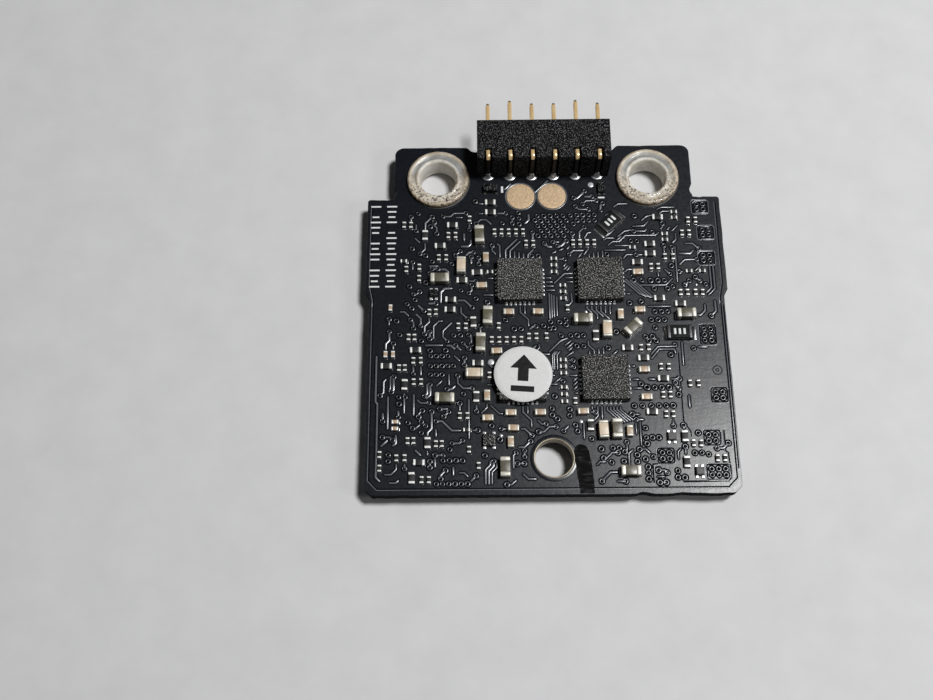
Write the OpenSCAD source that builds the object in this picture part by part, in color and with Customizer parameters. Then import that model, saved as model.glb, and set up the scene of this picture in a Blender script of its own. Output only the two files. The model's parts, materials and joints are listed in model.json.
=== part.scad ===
// Motor controller board of a small drone: a printed circuit board with two
// rubber mounting grommets, four controller chips, a six pin right-angle
// header and its passive parts. The power transistors and the wire pads are
// on the underside, and the board rests on them.
// Origin: centre of the overall box at the resting plane. +Z is up, +Y points
// the way the header's pins leave the board. All sizes are in millimetres.

/* [Board] */
// Thickness of the bare board
board_t = 1; // [0.8:0.1:1.6]
// Half of the width in front of the step
front_half_w = 15.7; // [15.5:0.05:15.9]
// Half of the width behind the step, the widest place
rear_half_w = 16.05; // [16:0.05:16.3]
// Depth from the front edge to the rear edge of the mounting tabs
board_d = 33; // [32.8:0.1:34]
// Distance from the front edge to the shoulders beside the tabs
shoulder_y = 27.6; // [27.2:0.1:28]
// Half of the width over both mounting tabs
tab_half_w = 13.65; // [13.2:0.05:14]
// Thickness of the plated pads
pad_t = 0.05; // [0.03:0.01:0.07]

/* [Mounting] */
// Half of the distance between the two grommets
grommet_x = 9.6; // [9.4:0.05:9.8]
// Distance from the front edge to the grommets
grommet_y = 29.5; // [29.4:0.05:29.6]
// Radius of the grommet's bore
grommet_bore_r = 1.7; // [1.4:0.05:1.8]
// Radius of the grommet's flange above the board
flange_r = 2.85; // [2.6:0.05:2.9]
// Thickness of the flange above the board
flange_t = 0.45; // [0.3:0.05:0.8]
// Radius of the plated screw hole at the front edge
front_hole_r = 1.6; // [1.2:0.05:1.65]

/* [Header] */
// Number of pins
pin_count = 6; // [2:1:6]
// Distance between neighbouring pins
pin_pitch = 2; // [2:0.05:2.05]
// Side of a pin's square section
pin_w = 0.45; // [0.4:0.05:0.5]
// Height of the plastic block
block_h = 3.6; // [3.5:0.1:5]
// Depth of the plastic block
block_d = 3.9; // [3.6:0.1:4.2]

/* [Controller chips] */
// Side of a chip's square body
chip_w = 4; // [3.9:0.05:4]
// Height of a chip above the board
chip_h = 0.85; // [0.7:0.05:1]
// Leads on each side of a chip
leads_per_side = 7; // [5:1:7]
// Distance between neighbouring leads
lead_pitch = 0.4; // [0.35:0.05:0.4]

/* [Label] */
// Radius of the round paper label
label_r = 2.5; // [2.2:0.1:2.6]
// Thickness of the label
label_t = 0.08; // [0.05:0.01:0.15]

/* [Underside] */
// Height of a power transistor, on which the board rests
power_h = 1; // [0.8:0.05:1.2]
// Side of a power transistor's square body
power_w = 3.3; // [3:0.05:3.3]

/* [Hidden] */

// Fineness of round parts
$fn = 64;
// Overlap that keeps a cut from ending flush with a face
eps = 0.01;

// The board's own coordinates, in which places are given: x from the middle,
// y from the front edge, z from the board's upper face
long_tip_y = 35.95;
short_tip_y = 35.65;
board_top = power_h + board_t;
under = -board_t;

// Outline of the board
front_chamfer = 0.65;
step_start_y = 17.7;
step_end_y = 18.35;
shoulder_r = 0.3;
tab_r = 0.85;
relief_r = 0.8;
relief = [14.25, 28.35];
strip_y = 32.5;
strip_half_w = 6.5;
strip_chamfer = 0.4;

// Holes in the board
neck_r = 2.15;
ring_r = 2.95;
front_hole = [0.2, 3.15];
plating_t = 0.12;
plating_rim = 0.02;
pin_hole_r = 0.4;

// Grommets
lower_flange_r = 2.6;
lower_flange_t = 0.75;
grommet_edge_r = 0.15;

// Test pads
test_pad_r = 1.28;
test_pads = [[-2.07, 27.75], [0.8, 27.75]];

// Header
block_front_y = 29.75;
block_end = 1;
leg_y = 30;
pin_z = 3.05;
leg_below = 0.6;
slot_w = 0.55;
slot_d = 1;
groove_w = 0.7;
groove_d = 0.55;
tip_taper = 0.3;
tip_w = 0.2;
solder_r = 0.6;
solder_h = 0.6;
solder_top_r = 0.3;
solder_gap = 0.05;
solder_under_h = 0.35;

// Controller chips, each [x, y]
chip_front_left = [-2.3, 10.04];
chip_front_right = [4.78, 10.02];
chip_rear_left = [-2.33, 19.2];
chip_rear_right = [4.75, 19.2];
lead_w = 0.22;
lead_in = 0.25;
lead_out = 0.2;
lead_h = 0.25;
thermal_pad_w = 2.5;
label_at = [-2.25, 10.3];

// Kinds of two-ended part: [length, width, height, end length, solder length]
grey_kind = [1.65, 0.85, 0.8, 0.38, 0.1];
cream_kind = [1.5, 0.8, 0.8, 0.25, 0.1];
small_kind = [0.95, 0.52, 0.5, 0.22, 0.08];
resistor_kind = [0.95, 0.5, 0.35, 0.2, 0.08];
tiny_kind = [0.58, 0.32, 0.28, 0.15, 0.1];
shunt_kind = [2.15, 1.25, 0.55, 0.3, 0.4];

// Places of the two-ended parts: [x, y, turn in degrees]
grey_places = [
    [-5.85, 23.7, 90], [-9.4, 19.45, 0], [-5.2, 15.85, 90], [-5.85, 13.35, 90],
    [-8.95, 8.35, 0], [-3.9, 2.3, 90], [3.1, 15.5, 0], [7.4, 14.65, 44],
    [12.1, 15.9, 0], [5.55, 5.55, 90], [6.5, 1.9, 0]
];
cream_places = [
    [-7.5, 20.7, 90], [-6.4, 10.55, 0], [5.15, 14.5, 90], [4.4, 5.45, 90]
];
small_places = [
    [-5.3, 21.5, 90], [-5.7, 18.8, 0], [-3.35, 16.25, 0], [-0.8, 16.25, 0],
    [-4.45, 12.6, 0], [-5.35, 8.6, 90], [-3.35, 7.05, 0], [-0.85, 7.05, 0],
    [-5.3, 6.6, 0], [-3.15, 5.7, 0], [-3.4, 4.5, 90], [6.4, 15.95, 90],
    [8.1, 16.35, 0], [8.15, 10.8, 0], [8.2, 8.35, 0], [2.77, 7.12, 0],
    [6.62, 5.36, 90], [8.15, 19.95, 0]
];
resistor_places = [
    [-10.4, 4.5, 90], [-11.1, 2.8, 0], [-11.7, 1.5, 90], [-8.5, 16.55, 0],
    [-11.5, 12.8, 0], [-14, 11.35, 0], [-12.4, 9.65, 90], [-10.75, 23.8, 90],
    [-8.3, 24.8, 0], [-9.4, 22.75, 0], [-8.45, 17.5, 0], [-6.45, 15.35, 90],
    [-6.1, 11.55, 0], [-6.25, 8.5, 90], [-6.1, 20.1, 0], [-7.45, 19.35, 0],
    [-4.83, 27.05, 0], [-4.83, 26.05, 0], [4.15, 14, 90], [6.85, 12.83, 0],
    [8.15, 11.9, 0], [9.74, 10.02, 0], [3.35, 5.94, 90], [8.6, 7.05, 0],
    [11.2, 4.9, 90], [11.2, 2.7, 90], [9.9, 17.45, 0], [11.7, 16.92, 0],
    [9.36, 22.74, 0], [9.36, 21.77, 0], [8.17, 20.95, 0], [10.26, 25.38, 0]
];

// Tiny resistors stand in pairs and short rows. A pair is [x, y, distance],
// a row is [first x, first y, count, distance].
tiny_pairs = [
    [-11.83, 4.7, 0.5], [-9.43, 4.4, 0.5], [-12.65, 3.22, 0.7],
    [-10.55, 1.33, 0.6], [-10.04, 16.35, 0.58], [-11.85, 14, 0.5],
    [-12.65, 11.2, 0.5], [-11.35, 11.85, 0.65], [-11.3, 9.9, 0.63],
    [-12.35, 24.88, 0.6], [-8.33, 23.8, 0.65], [-9.18, 21.6, 0.65],
    [-7.35, 6.85, 0.65], [-7.45, 15, 0.65], [-1.37, 22.95, 0.63],
    [9.95, 11.1, 0.65], [9.95, 8.57, 0.63], [12.35, 9.58, 0.7],
    [10.07, 6.85, 0.57], [12.2, 4.3, 0.62], [14.1, 3, 0.63],
    [9.69, 20.53, 0.62], [11.03, 21.48, 0.7], [13.32, 25.1, 0.65],
    [12.68, 23.8, 0.64], [12.12, 18, 0.63], [13.43, 18, 0.6]
];
tiny_rows_across = [
    [-4.87, 13.7, 5, 0.64], [-1.65, 14, 2, 0.65], [-4.5, 24.1, 5, 0.64],
    [2.53, 22.96, 4, 0.63]
];
tiny_columns = [
    [0.74, 20.1, 3, 0.65], [1.46, 17.55, 3, 0.62], [1.24, 10.6, 3, 0.6],
    [1.24, 8.05, 3, 0.63], [10.77, 23.15, 2, 0.6], [11.75, 25.35, 2, 0.58]
];
tiny_single = [
    [-14.4, 3.5, 90], [-14.4, 2.35, 90], [-12.4, 20.5, 90], [-11.25, 20.7, 90],
    [-11.25, 19.6, 90], [-6.9, 3.9, 90], [-4.25, 15, 90], [-5.1, 10.45, 90],
    [-0.1, 14, 90], [1.8, 16.65, 90], [2.15, 8.1, 90], [8.01, 12.87, 90],
    [8.68, 12.87, 90], [-6.75, 25.45, 90], [-12.65, 21.3, 0], [-7.1, 5.6, 0],
    [-4.95, 20.15, 0], [7.82, 22.42, 0], [12.7, 20.06, 0], [13.87, 20.06, 0],
    [-6.1, 2.5, 90]
];
function tiny_pair_places() = [
    for (p = tiny_pairs) for (side = [-0.5, 0.5]) [p[0] + side * p[2], p[1], 90]
];
function tiny_row_places() = [
    for (r = tiny_rows_across) for (i = [0 : r[2] - 1]) [r[0] + i * r[3], r[1], 90]
];
function tiny_column_places() = [
    for (c = tiny_columns) for (i = [0 : c[2] - 1]) [c[0], c[1] + i * c[3], 0]
];
tiny_places = concat(
    tiny_pair_places(), tiny_row_places(), tiny_column_places(), tiny_single
);
tiny_capacitor_places = [
    [-13.15, 6.35, 0], [-13.15, 5.75, 0], [-13.75, 16.8, 90],
    [-14.1, 12.45, 90], [-13.45, 12.45, 90]
];

// Shunt resistors
shunt_side = [11.4, 14.2, 0];
shunt_rear = [5.93, 24.93, 44.5];

// Small chips: [x, y, width, depth, height]
sensor = [-5.2, 4.7, 1.05, 1.05, 0.45];
regulator = [-4.8, 28.5, 1.3, 0.7, 0.5];
side_oscillator = [10.1, 4.9, 0.75, 0.75, 0.4];
corner_oscillator = [12.22, 1.9, 0.75, 0.75, 0.4];
diode = [5.34, 28.45, 0.7, 0.95, 0.4];
transistor = [-9.95, 18.1, 0.7, 0.7, 0.4];
small_pad_w = 0.25;
small_pad_d = 0.2;
small_pad_h = 0.12;

// Power transistors on the underside: distances from the middle and the front
power_columns = [7.8, 11.6];
front_power_rows = [3, 7, 11];
rear_power_rows = [16, 20, 24];
power_lead_w = 0.35;
power_lead_out = 0.2;
power_lead_h = 0.25;
power_lead_pitch = 0.65;
power_tab_w = 2.3;

// Solder pads for the motor wires and the battery wires
motor_pad = [1.7, 2.4];
motor_pad_x = 14.45;
solder_bump = 0.35;
battery_pad = [2.6, 4];
battery_pad_x = 3.9;
battery_pad_y = 3.2;

// Moves a shape from the board's coordinates into the part's frame
module on_board() {
    translate([0, -long_tip_y / 2, board_top]) children();
}

// One corner left over when a round of radius r is cut from a square corner
module corner_cut(r) {
    difference() {
        square(r + eps);
        circle(r);
    }
}

// Right half of the board's outline, from the middle line outwards
module half_outline() {
    difference() {
        polygon([
            [0, 0],
            [front_half_w - front_chamfer, 0],
            [front_half_w, front_chamfer],
            [front_half_w, step_start_y],
            [rear_half_w, step_end_y],
            [rear_half_w, shoulder_y],
            [tab_half_w, shoulder_y],
            [tab_half_w, board_d],
            [strip_half_w + strip_chamfer, board_d],
            [strip_half_w, strip_y],
            [0, strip_y]
        ]);
        translate([rear_half_w - shoulder_r, shoulder_y - shoulder_r]) corner_cut(shoulder_r);
        translate([tab_half_w - tab_r, board_d - tab_r]) corner_cut(tab_r);
        translate(relief) circle(relief_r);
    }
}

module pin_places() {
    for (i = [0 : pin_count - 1]) {
        translate([(i - (pin_count - 1) / 2) * pin_pitch, 0, 0]) children();
    }
}

module pcb() {
    color("#1d212b") on_board() difference() {
        translate([0, 0, under]) linear_extrude(board_t) union() {
            half_outline();
            mirror([1, 0]) half_outline();
        }
        for (side = [-1, 1]) {
            translate([side * grommet_x, grommet_y, under - eps]) {
                cylinder(r = neck_r, h = board_t + 2 * eps);
            }
        }
        translate([front_hole[0], front_hole[1], under - eps]) {
            cylinder(r = front_hole_r + plating_t, h = board_t + 2 * eps);
        }
        pin_places() translate([0, leg_y, under - eps]) {
            cylinder(r = pin_hole_r, h = board_t + 2 * eps);
        }
    }
}

module front_hole_plating() {
    color("#a08c66") on_board() translate([front_hole[0], front_hole[1], under]) {
        difference() {
            cylinder(r = front_hole_r + plating_t, h = board_t + plating_rim);
            translate([0, 0, -eps]) {
                cylinder(r = front_hole_r, h = board_t + plating_rim + 2 * eps);
            }
        }
    }
}

module pad_ring(side) {
    color("#c9cbd0") on_board() translate([side * grommet_x, grommet_y, 0]) {
        difference() {
            cylinder(r = ring_r, h = pad_t);
            translate([0, 0, -eps]) cylinder(r = neck_r, h = pad_t + 2 * eps);
        }
    }
}

// Half section of a flange from radius r0 to r1 and height z0 to z1, whose
// outer edge is rounded
module flange_section(r0, r1, z0, z1) {
    e = grommet_edge_r;
    translate([r0, z0]) square([r1 - e - r0, z1 - z0]);
    translate([r0, z0 + e]) square([r1 - r0, z1 - z0 - 2 * e]);
    translate([r1 - e, z0 + e]) circle(e);
    translate([r1 - e, z1 - e]) circle(e);
}

module grommet(side) {
    color("#cfc8bb") on_board() translate([side * grommet_x, grommet_y, 0]) {
        rotate_extrude() union() {
            flange_section(grommet_bore_r, flange_r, pad_t, pad_t + flange_t);
            flange_section(grommet_bore_r, lower_flange_r, under - lower_flange_t, under);
            translate([grommet_bore_r, under - grommet_edge_r]) {
                square([neck_r - grommet_bore_r, board_t + pad_t + 2 * grommet_edge_r]);
            }
        }
    }
}

module test_pad(place) {
    color("#d8bd8c") on_board() translate([place[0], place[1], 0]) {
        cylinder(r = test_pad_r, h = pad_t);
    }
}

module controller_chip(place) {
    color("#5a5856") on_board() translate([place[0], place[1], pad_t]) {
        translate([-chip_w / 2, -chip_w / 2, 0]) cube([chip_w, chip_w, chip_h - pad_t]);
    }
}

// One chip lead with its solder, seen from the side: x = 0 is the body's edge
module lead_section() {
    polygon([
        [-lead_in, 0], [lead_out, 0], [lead_out / 2, lead_h * 0.6],
        [0, lead_h], [0, pad_t], [-lead_in, pad_t]
    ]);
}

module chip_leads(place) {
    color("#d9dcdf") on_board() translate([place[0], place[1], 0]) {
        for (turn = [0, 90, 180, 270]) rotate(turn) {
            for (i = [0 : leads_per_side - 1]) {
                y = (i - (leads_per_side - 1) / 2) * lead_pitch;
                translate([chip_w / 2, y + lead_w / 2, 0]) rotate([90, 0, 0]) {
                    linear_extrude(lead_w) lead_section();
                }
            }
        }
        translate([-thermal_pad_w / 2, -thermal_pad_w / 2, 0]) {
            cube([thermal_pad_w, thermal_pad_w, pad_t]);
        }
    }
}

module round_label() {
    color("white") on_board() translate([label_at[0], label_at[1], chip_h]) {
        cylinder(r = label_r, h = label_t);
    }
}

module header_block() {
    block_w = pin_count * pin_pitch;
    color("#3a3a3c") on_board() difference() {
        translate([-block_w / 2, block_front_y, 0]) cube([block_w, block_d, block_h]);
        pin_places() {
            translate([-slot_w / 2, block_front_y - eps, pin_z - pin_w / 2]) {
                cube([slot_w, slot_d, block_h]);
            }
            translate([-groove_w / 2, block_front_y - eps, -eps]) {
                cube([groove_w, groove_d, block_h + 2 * eps]);
            }
            translate([-pin_w / 2, block_front_y, pin_z - pin_w / 2]) {
                cube([pin_w, block_d + eps, pin_w]);
            }
            translate([0, leg_y, -eps]) {
                cylinder(r = solder_r + solder_gap, h = solder_h + solder_gap + eps);
            }
        }
    }
}

// One bent pin seen from the side: a leg down through the board, and a
// pointed length that leaves the block
module pin_section(tip_y) {
    half = pin_w / 2;
    polygon([
        [leg_y - half, under - leg_below],
        [leg_y + half, under - leg_below],
        [leg_y + half, pin_z - half],
        [tip_y - tip_taper, pin_z - half],
        [tip_y, pin_z - tip_w / 2],
        [tip_y, pin_z + tip_w / 2],
        [tip_y - tip_taper, pin_z + half],
        [leg_y + half / 2, pin_z + half],
        [leg_y - half, pin_z - half / 2]
    ]);
}

// Pins two and five are a little longer than the others
module header_pin(index) {
    tip_y = (index == 2 || index == 5) ? long_tip_y : short_tip_y;
    x = (index - (pin_count + 1) / 2) * pin_pitch;
    if (index <= pin_count) {
        color("#d6b873") on_board() translate([x - pin_w / 2, 0, 0]) {
            rotate([90, 0, 90]) linear_extrude(pin_w) pin_section(tip_y);
        }
    }
}

module header_solder() {
    color("#dfe2e5") on_board() pin_places() translate([0, leg_y, 0]) difference() {
        union() {
            cylinder(r1 = solder_r, r2 = solder_top_r, h = solder_h);
            translate([0, 0, under]) cylinder(r = pin_hole_r, h = board_t);
            translate([0, 0, under - solder_under_h]) {
                cylinder(r1 = solder_top_r, r2 = solder_r, h = solder_under_h);
            }
        }
        translate([-pin_w / 2, -pin_w / 2, under - 1]) {
            cube([pin_w, pin_w, board_t + 3]);
        }
    }
}

// Bodies of two-ended parts of one kind
module chip_bodies(kind, places) {
    length = kind[0] - 2 * kind[3];
    for (p = places) on_board() translate([p[0], p[1], 0]) rotate(p[2]) {
        translate([-length / 2, -kind[1] / 2, 0]) cube([length, kind[1], kind[2]]);
    }
}

// Metal ends of two-ended parts of one kind, each with its solder
module chip_ends(kind, places) {
    inner = kind[0] / 2 - kind[3];
    outer = kind[0] / 2;
    for (p = places) on_board() translate([p[0], p[1], 0]) {
        for (turn = [p[2], p[2] + 180]) rotate(turn) {
            translate([0, kind[1] / 2, 0]) rotate([90, 0, 0]) linear_extrude(kind[1]) {
                polygon([
                    [inner, 0], [outer + kind[4], 0], [outer, kind[2] * 0.7],
                    [outer, kind[2]], [inner, kind[2]]
                ]);
            }
        }
    }
}

module grey_capacitor_bodies() {
    color("#8f8d7d") chip_bodies(grey_kind, grey_places);
}

module grey_capacitor_ends() {
    color("#ecebe6") chip_ends(grey_kind, grey_places);
}

module cream_capacitor_bodies() {
    color("#d8c9b4") chip_bodies(cream_kind, cream_places);
}

module cream_capacitor_ends() {
    color("#f0ebe2") chip_ends(cream_kind, cream_places);
}

module small_capacitor_bodies() {
    color("#cdb79c") chip_bodies(small_kind, small_places);
}

module small_capacitor_ends() {
    color("#efe9e0") chip_ends(small_kind, small_places);
}

module resistor_bodies() {
    color("#3c3c3e") chip_bodies(resistor_kind, resistor_places);
}

module resistor_ends() {
    color("#e6e8ea") chip_ends(resistor_kind, resistor_places);
}

module tiny_resistor_bodies() {
    color("#303236") chip_bodies(tiny_kind, tiny_places);
}

module tiny_resistor_ends() {
    color("#e6e8ea") chip_ends(tiny_kind, tiny_places);
}

module tiny_capacitor_bodies() {
    color("#b3987c") chip_bodies(tiny_kind, tiny_capacitor_places);
}

module tiny_capacitor_ends() {
    color("#e6e0d6") chip_ends(tiny_kind, tiny_capacitor_places);
}

module shunt_body(place) {
    color("#1b1b1c") chip_bodies(shunt_kind, [place]);
}

module shunt_ends(place) {
    color("#c8cacc") chip_ends(shunt_kind, [place]);
}

// Body of a small chip
module small_chip(chip) {
    on_board() translate([chip[0] - chip[2] / 2, chip[1] - chip[3] / 2, 0]) {
        cube([chip[2], chip[3], chip[4]]);
    }
}

// Two solder pads at the front and two at the rear of a small chip
module small_chip_corner_pads(chip) {
    for (sx = [-1, 1]) for (sy = [-1, 1]) {
        x = chip[0] + sx * (chip[2] / 2 - small_pad_w / 2);
        y = chip[1] + sy * (chip[3] / 2 + small_pad_d / 2);
        on_board() translate([x - small_pad_w / 2, y - small_pad_d / 2, 0]) {
            cube([small_pad_w, small_pad_d, small_pad_h]);
        }
    }
}

module small_chip_pads() {
    color("#e6e8ea") {
        for (chip = [sensor, regulator, side_oscillator, corner_oscillator]) {
            small_chip_corner_pads(chip);
        }
        for (chip = [diode, transistor]) small_chip_corner_pads(chip);
    }
}

// Six power transistors, hanging under the board
module power_transistors(side, rows) {
    color("#2b2b2d") for (x = power_columns) for (y = rows) {
        on_board() translate([side * x - power_w / 2, y - power_w / 2, under - power_h]) {
            cube([power_w, power_w, power_h - pad_t]);
        }
    }
}

// A wide tab on the outer side and four leads on the inner side
module power_transistor_feet(x, y, side) {
    edge = x + side * power_w / 2;
    inner_edge = x - side * power_w / 2;
    on_board() {
        translate([x - power_tab_w / 2, y - power_tab_w / 2, under - pad_t]) {
            cube([power_tab_w, power_tab_w, pad_t]);
        }
        translate([min(edge, edge + side * power_lead_out), y - power_tab_w / 2, under - power_lead_h]) {
            cube([power_lead_out, power_tab_w, power_lead_h]);
        }
        for (i = [-1.5 : 1 : 1.5]) {
            translate([
                min(inner_edge, inner_edge - side * power_lead_out),
                y + i * power_lead_pitch - power_lead_w / 2,
                under - power_lead_h
            ]) {
                cube([power_lead_out, power_lead_w, power_lead_h]);
            }
        }
    }
}

module power_transistor_pads() {
    color("#cfd2d5") for (side = [-1, 1]) for (x = power_columns) {
        for (y = concat(front_power_rows, rear_power_rows)) {
            power_transistor_feet(side * x, y, side);
        }
    }
}

// A flat pad with a low bump of solder on it, hanging under the board
module wire_pad(x, y, size) {
    on_board() translate([x - size[0] / 2, y - size[1] / 2, under - solder_bump]) {
        cube([size[0], size[1], solder_bump]);
    }
}

module motor_wire_pads() {
    color("#cfd2d5") for (side = [-1, 1]) {
        for (y = concat(front_power_rows, rear_power_rows)) {
            wire_pad(side * motor_pad_x, y, motor_pad);
        }
    }
}

module battery_wire_pads() {
    color("#cfd2d5") for (side = [-1, 1]) {
        wire_pad(side * battery_pad_x, battery_pad_y, battery_pad);
    }
}

pcb();
front_hole_plating();
pad_ring(-1);  // pad_ring_left
pad_ring(1);  // pad_ring_right
grommet(-1);  // grommet_left
grommet(1);  // grommet_right
test_pad(test_pads[0]);  // test_pad_left
test_pad(test_pads[1]);  // test_pad_right
controller_chip(chip_front_left);  // controller_chip_front_left
controller_chip(chip_front_right);  // controller_chip_front_right
controller_chip(chip_rear_left);  // controller_chip_rear_left
controller_chip(chip_rear_right);  // controller_chip_rear_right
chip_leads(chip_front_left);  // chip_leads_front_left
chip_leads(chip_front_right);  // chip_leads_front_right
chip_leads(chip_rear_left);  // chip_leads_rear_left
chip_leads(chip_rear_right);  // chip_leads_rear_right
round_label();
header_block();
header_pin(1);  // header_pin_1
header_pin(2);  // header_pin_2
header_pin(3);  // header_pin_3
header_pin(4);  // header_pin_4
header_pin(5);  // header_pin_5
header_pin(6);  // header_pin_6
header_solder();
grey_capacitor_bodies();
grey_capacitor_ends();
cream_capacitor_bodies();
cream_capacitor_ends();
small_capacitor_bodies();
small_capacitor_ends();
resistor_bodies();
resistor_ends();
tiny_resistor_bodies();
tiny_resistor_ends();
tiny_capacitor_bodies();
tiny_capacitor_ends();
shunt_body(shunt_side);  // shunt_side_body
shunt_ends(shunt_side);  // shunt_side_ends
shunt_body(shunt_rear);  // shunt_rear_body
shunt_ends(shunt_rear);  // shunt_rear_ends
color("#4a4a4c") small_chip(sensor);  // sensor_chip
color("#343436") small_chip(regulator);  // regulator_chip
color("#b9bcbf") small_chip(side_oscillator);  // oscillator_side
color("#b9bcbf") small_chip(corner_oscillator);  // oscillator_corner
color("#565658") small_chip(diode);  // diode_chip
color("#343436") small_chip(transistor);  // transistor_chip
small_chip_pads();
union() {  // power_transistors_front_left
    power_transistors(-1, front_power_rows);
}
union() {  // power_transistors_front_right
    power_transistors(1, front_power_rows);
}
union() {  // power_transistors_rear_left
    power_transistors(-1, rear_power_rows);
}
union() {  // power_transistors_rear_right
    power_transistors(1, rear_power_rows);
}
power_transistor_pads();
motor_wire_pads();
battery_wire_pads();
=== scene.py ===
"""Looks of the motor controller board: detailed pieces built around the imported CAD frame."""

import json
import math
import random

import bmesh
import bpy
import numpy as np
from mathutils import Matrix, Vector, noise
from mathutils.geometry import tessellate_polygon


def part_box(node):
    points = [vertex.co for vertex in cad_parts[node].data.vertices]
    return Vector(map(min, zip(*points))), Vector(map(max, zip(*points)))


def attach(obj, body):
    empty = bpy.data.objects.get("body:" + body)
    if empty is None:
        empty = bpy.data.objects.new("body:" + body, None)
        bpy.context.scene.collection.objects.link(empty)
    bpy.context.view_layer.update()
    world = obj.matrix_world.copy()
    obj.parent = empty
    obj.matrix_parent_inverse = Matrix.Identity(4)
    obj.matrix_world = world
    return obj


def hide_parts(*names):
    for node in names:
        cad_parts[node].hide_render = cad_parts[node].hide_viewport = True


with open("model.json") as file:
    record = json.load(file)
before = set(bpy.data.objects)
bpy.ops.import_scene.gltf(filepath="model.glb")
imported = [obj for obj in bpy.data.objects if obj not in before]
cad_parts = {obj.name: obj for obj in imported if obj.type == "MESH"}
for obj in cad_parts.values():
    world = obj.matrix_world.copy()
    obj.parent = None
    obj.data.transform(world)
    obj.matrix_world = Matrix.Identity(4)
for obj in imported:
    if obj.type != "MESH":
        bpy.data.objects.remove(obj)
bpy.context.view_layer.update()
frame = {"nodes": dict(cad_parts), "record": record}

# Board coordinates, in millimetres: x from the middle, y from the front edge,
# z from the board's upper face. Every shape below is built in them.
MM = 0.001
PCB_LOW, PCB_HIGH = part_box("pcb")
FRONT_Y = PCB_LOW.y
TOP_Z = PCB_HIGH.z
BOARD_T = (PCB_HIGH.z - PCB_LOW.z) / MM
BOARD_D = (PCB_HIGH.y - PCB_LOW.y) / MM
HALF_W = (PCB_HIGH.x - PCB_LOW.x) / MM / 2
CORNERS = ("front_left", "front_right", "rear_left", "rear_right")
random.seed(7)


def board_point(p):
    """A point given in metres in the shared frame, in board millimetres."""
    return np.array([p[0] / MM, (p[1] - FRONT_Y) / MM, (p[2] - TOP_Z) / MM])


def node_box(node):
    """Lowest and highest corner of a CAD node in board millimetres."""
    low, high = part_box(node)
    return board_point(low), board_point(high)


def extent(node):
    """Centre in plan, size, lowest and highest z of a CAD node."""
    low, high = node_box(node)
    x, y = (low + high)[:2] / 2
    return x, y, high - low, float(low[2]), float(high[2])


def wave(x, y, z):
    """Smooth noise from -1 to 1 that is the same on each run."""
    return noise.noise(Vector((x, y, z)))


def ahead(point, length, angle):
    """The point that lies length away from a point, in a direction in radians."""
    return point[0] + length * math.cos(angle), point[1] + length * math.sin(angle)


# ---- Mesh building ----
class Shape:
    """Vertices, faces and material numbers gathered for one piece."""

    def __init__(self):
        self.points = []
        self.faces = []
        self.slots = []

    def add(self, shape, place=None, slot=0):
        """Adds (points, faces), moved by the 4x4 matrix place."""
        points, faces = shape
        points = np.asarray(points, float)
        if place is not None:
            turn = np.array(place)
            points = points @ turn[:3, :3].T + turn[:3, 3]
        start = sum(len(p) for p in self.points)
        self.points.append(points)
        self.faces.extend(tuple(i + start for i in face) for face in faces)
        self.slots.extend([slot] * len(faces))

    def piece(self, name, materials, stands_for=(), finish=None, sharp=40.0):
        """Makes the Blender object, smooth except at edges over sharp degrees."""
        points = np.concatenate(self.points) * MM
        points[:, 1] += FRONT_Y
        points[:, 2] += TOP_Z
        mesh = bpy.data.meshes.new(name)
        mesh.from_pydata(points.tolist(), [], self.faces)
        for material in materials:
            mesh.materials.append(material)
        mesh.polygons.foreach_set("material_index", self.slots)
        mesh.validate()
        smooth(mesh, sharp)
        return ride(bpy.data.objects.new(name, mesh), stands_for)


def smooth(mesh, sharp):
    work = bmesh.new()
    work.from_mesh(mesh)
    bmesh.ops.recalc_face_normals(work, faces=work.faces)
    limit = math.radians(sharp)
    for face in work.faces:
        face.smooth = True
    for edge in work.edges:
        if len(edge.link_faces) == 2 and edge.calc_face_angle(0.0) > limit:
            edge.smooth = False
    work.to_mesh(mesh)
    work.free()


def link(obj):
    bpy.context.scene.collection.objects.link(obj)
    return obj


def ride(obj, stands_for=()):
    """Links a piece, lets it ride on the board and stand for its CAD nodes."""
    link(obj)
    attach(obj, "root")
    if stands_for:
        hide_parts(*stands_for)
    return obj


def taken(work):
    """Points and faces of a bmesh, which is then freed."""
    work.verts.index_update()
    points = np.array([v.co[:] for v in work.verts])
    faces = [tuple(v.index for v in f.verts) for f in work.faces]
    work.free()
    return points, faces


def rounded_box(width, depth, height, edge, segments=2, taper=0.0, floor_z=0.0):
    """A box standing on floor_z, with rounded edges and sides that lean in."""
    work = bmesh.new()
    bmesh.ops.create_cube(work, size=1)
    for v in work.verts:
        lean = taper if v.co.z > 0 else 0.0
        v.co.x *= width - 2 * lean
        v.co.y *= depth - 2 * lean
        v.co.z = (v.co.z + 0.5) * height + floor_z
    bmesh.ops.bevel(
        work, geom=work.edges[:], offset=edge, segments=segments,
        profile=0.6, affect="EDGES", clamp_overlap=True,
    )
    return taken(work)


def grid_faces(rows, columns, closed=True, start=0):
    """Faces between rows of points, with each row closed to a ring or left open."""
    faces = []
    for i in range(rows - 1):
        for k in range(columns if closed else columns - 1):
            a = start + i * columns + k
            b = start + i * columns + (k + 1) % columns
            faces.append((a, b, b + columns, a + columns))
    return faces


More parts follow.
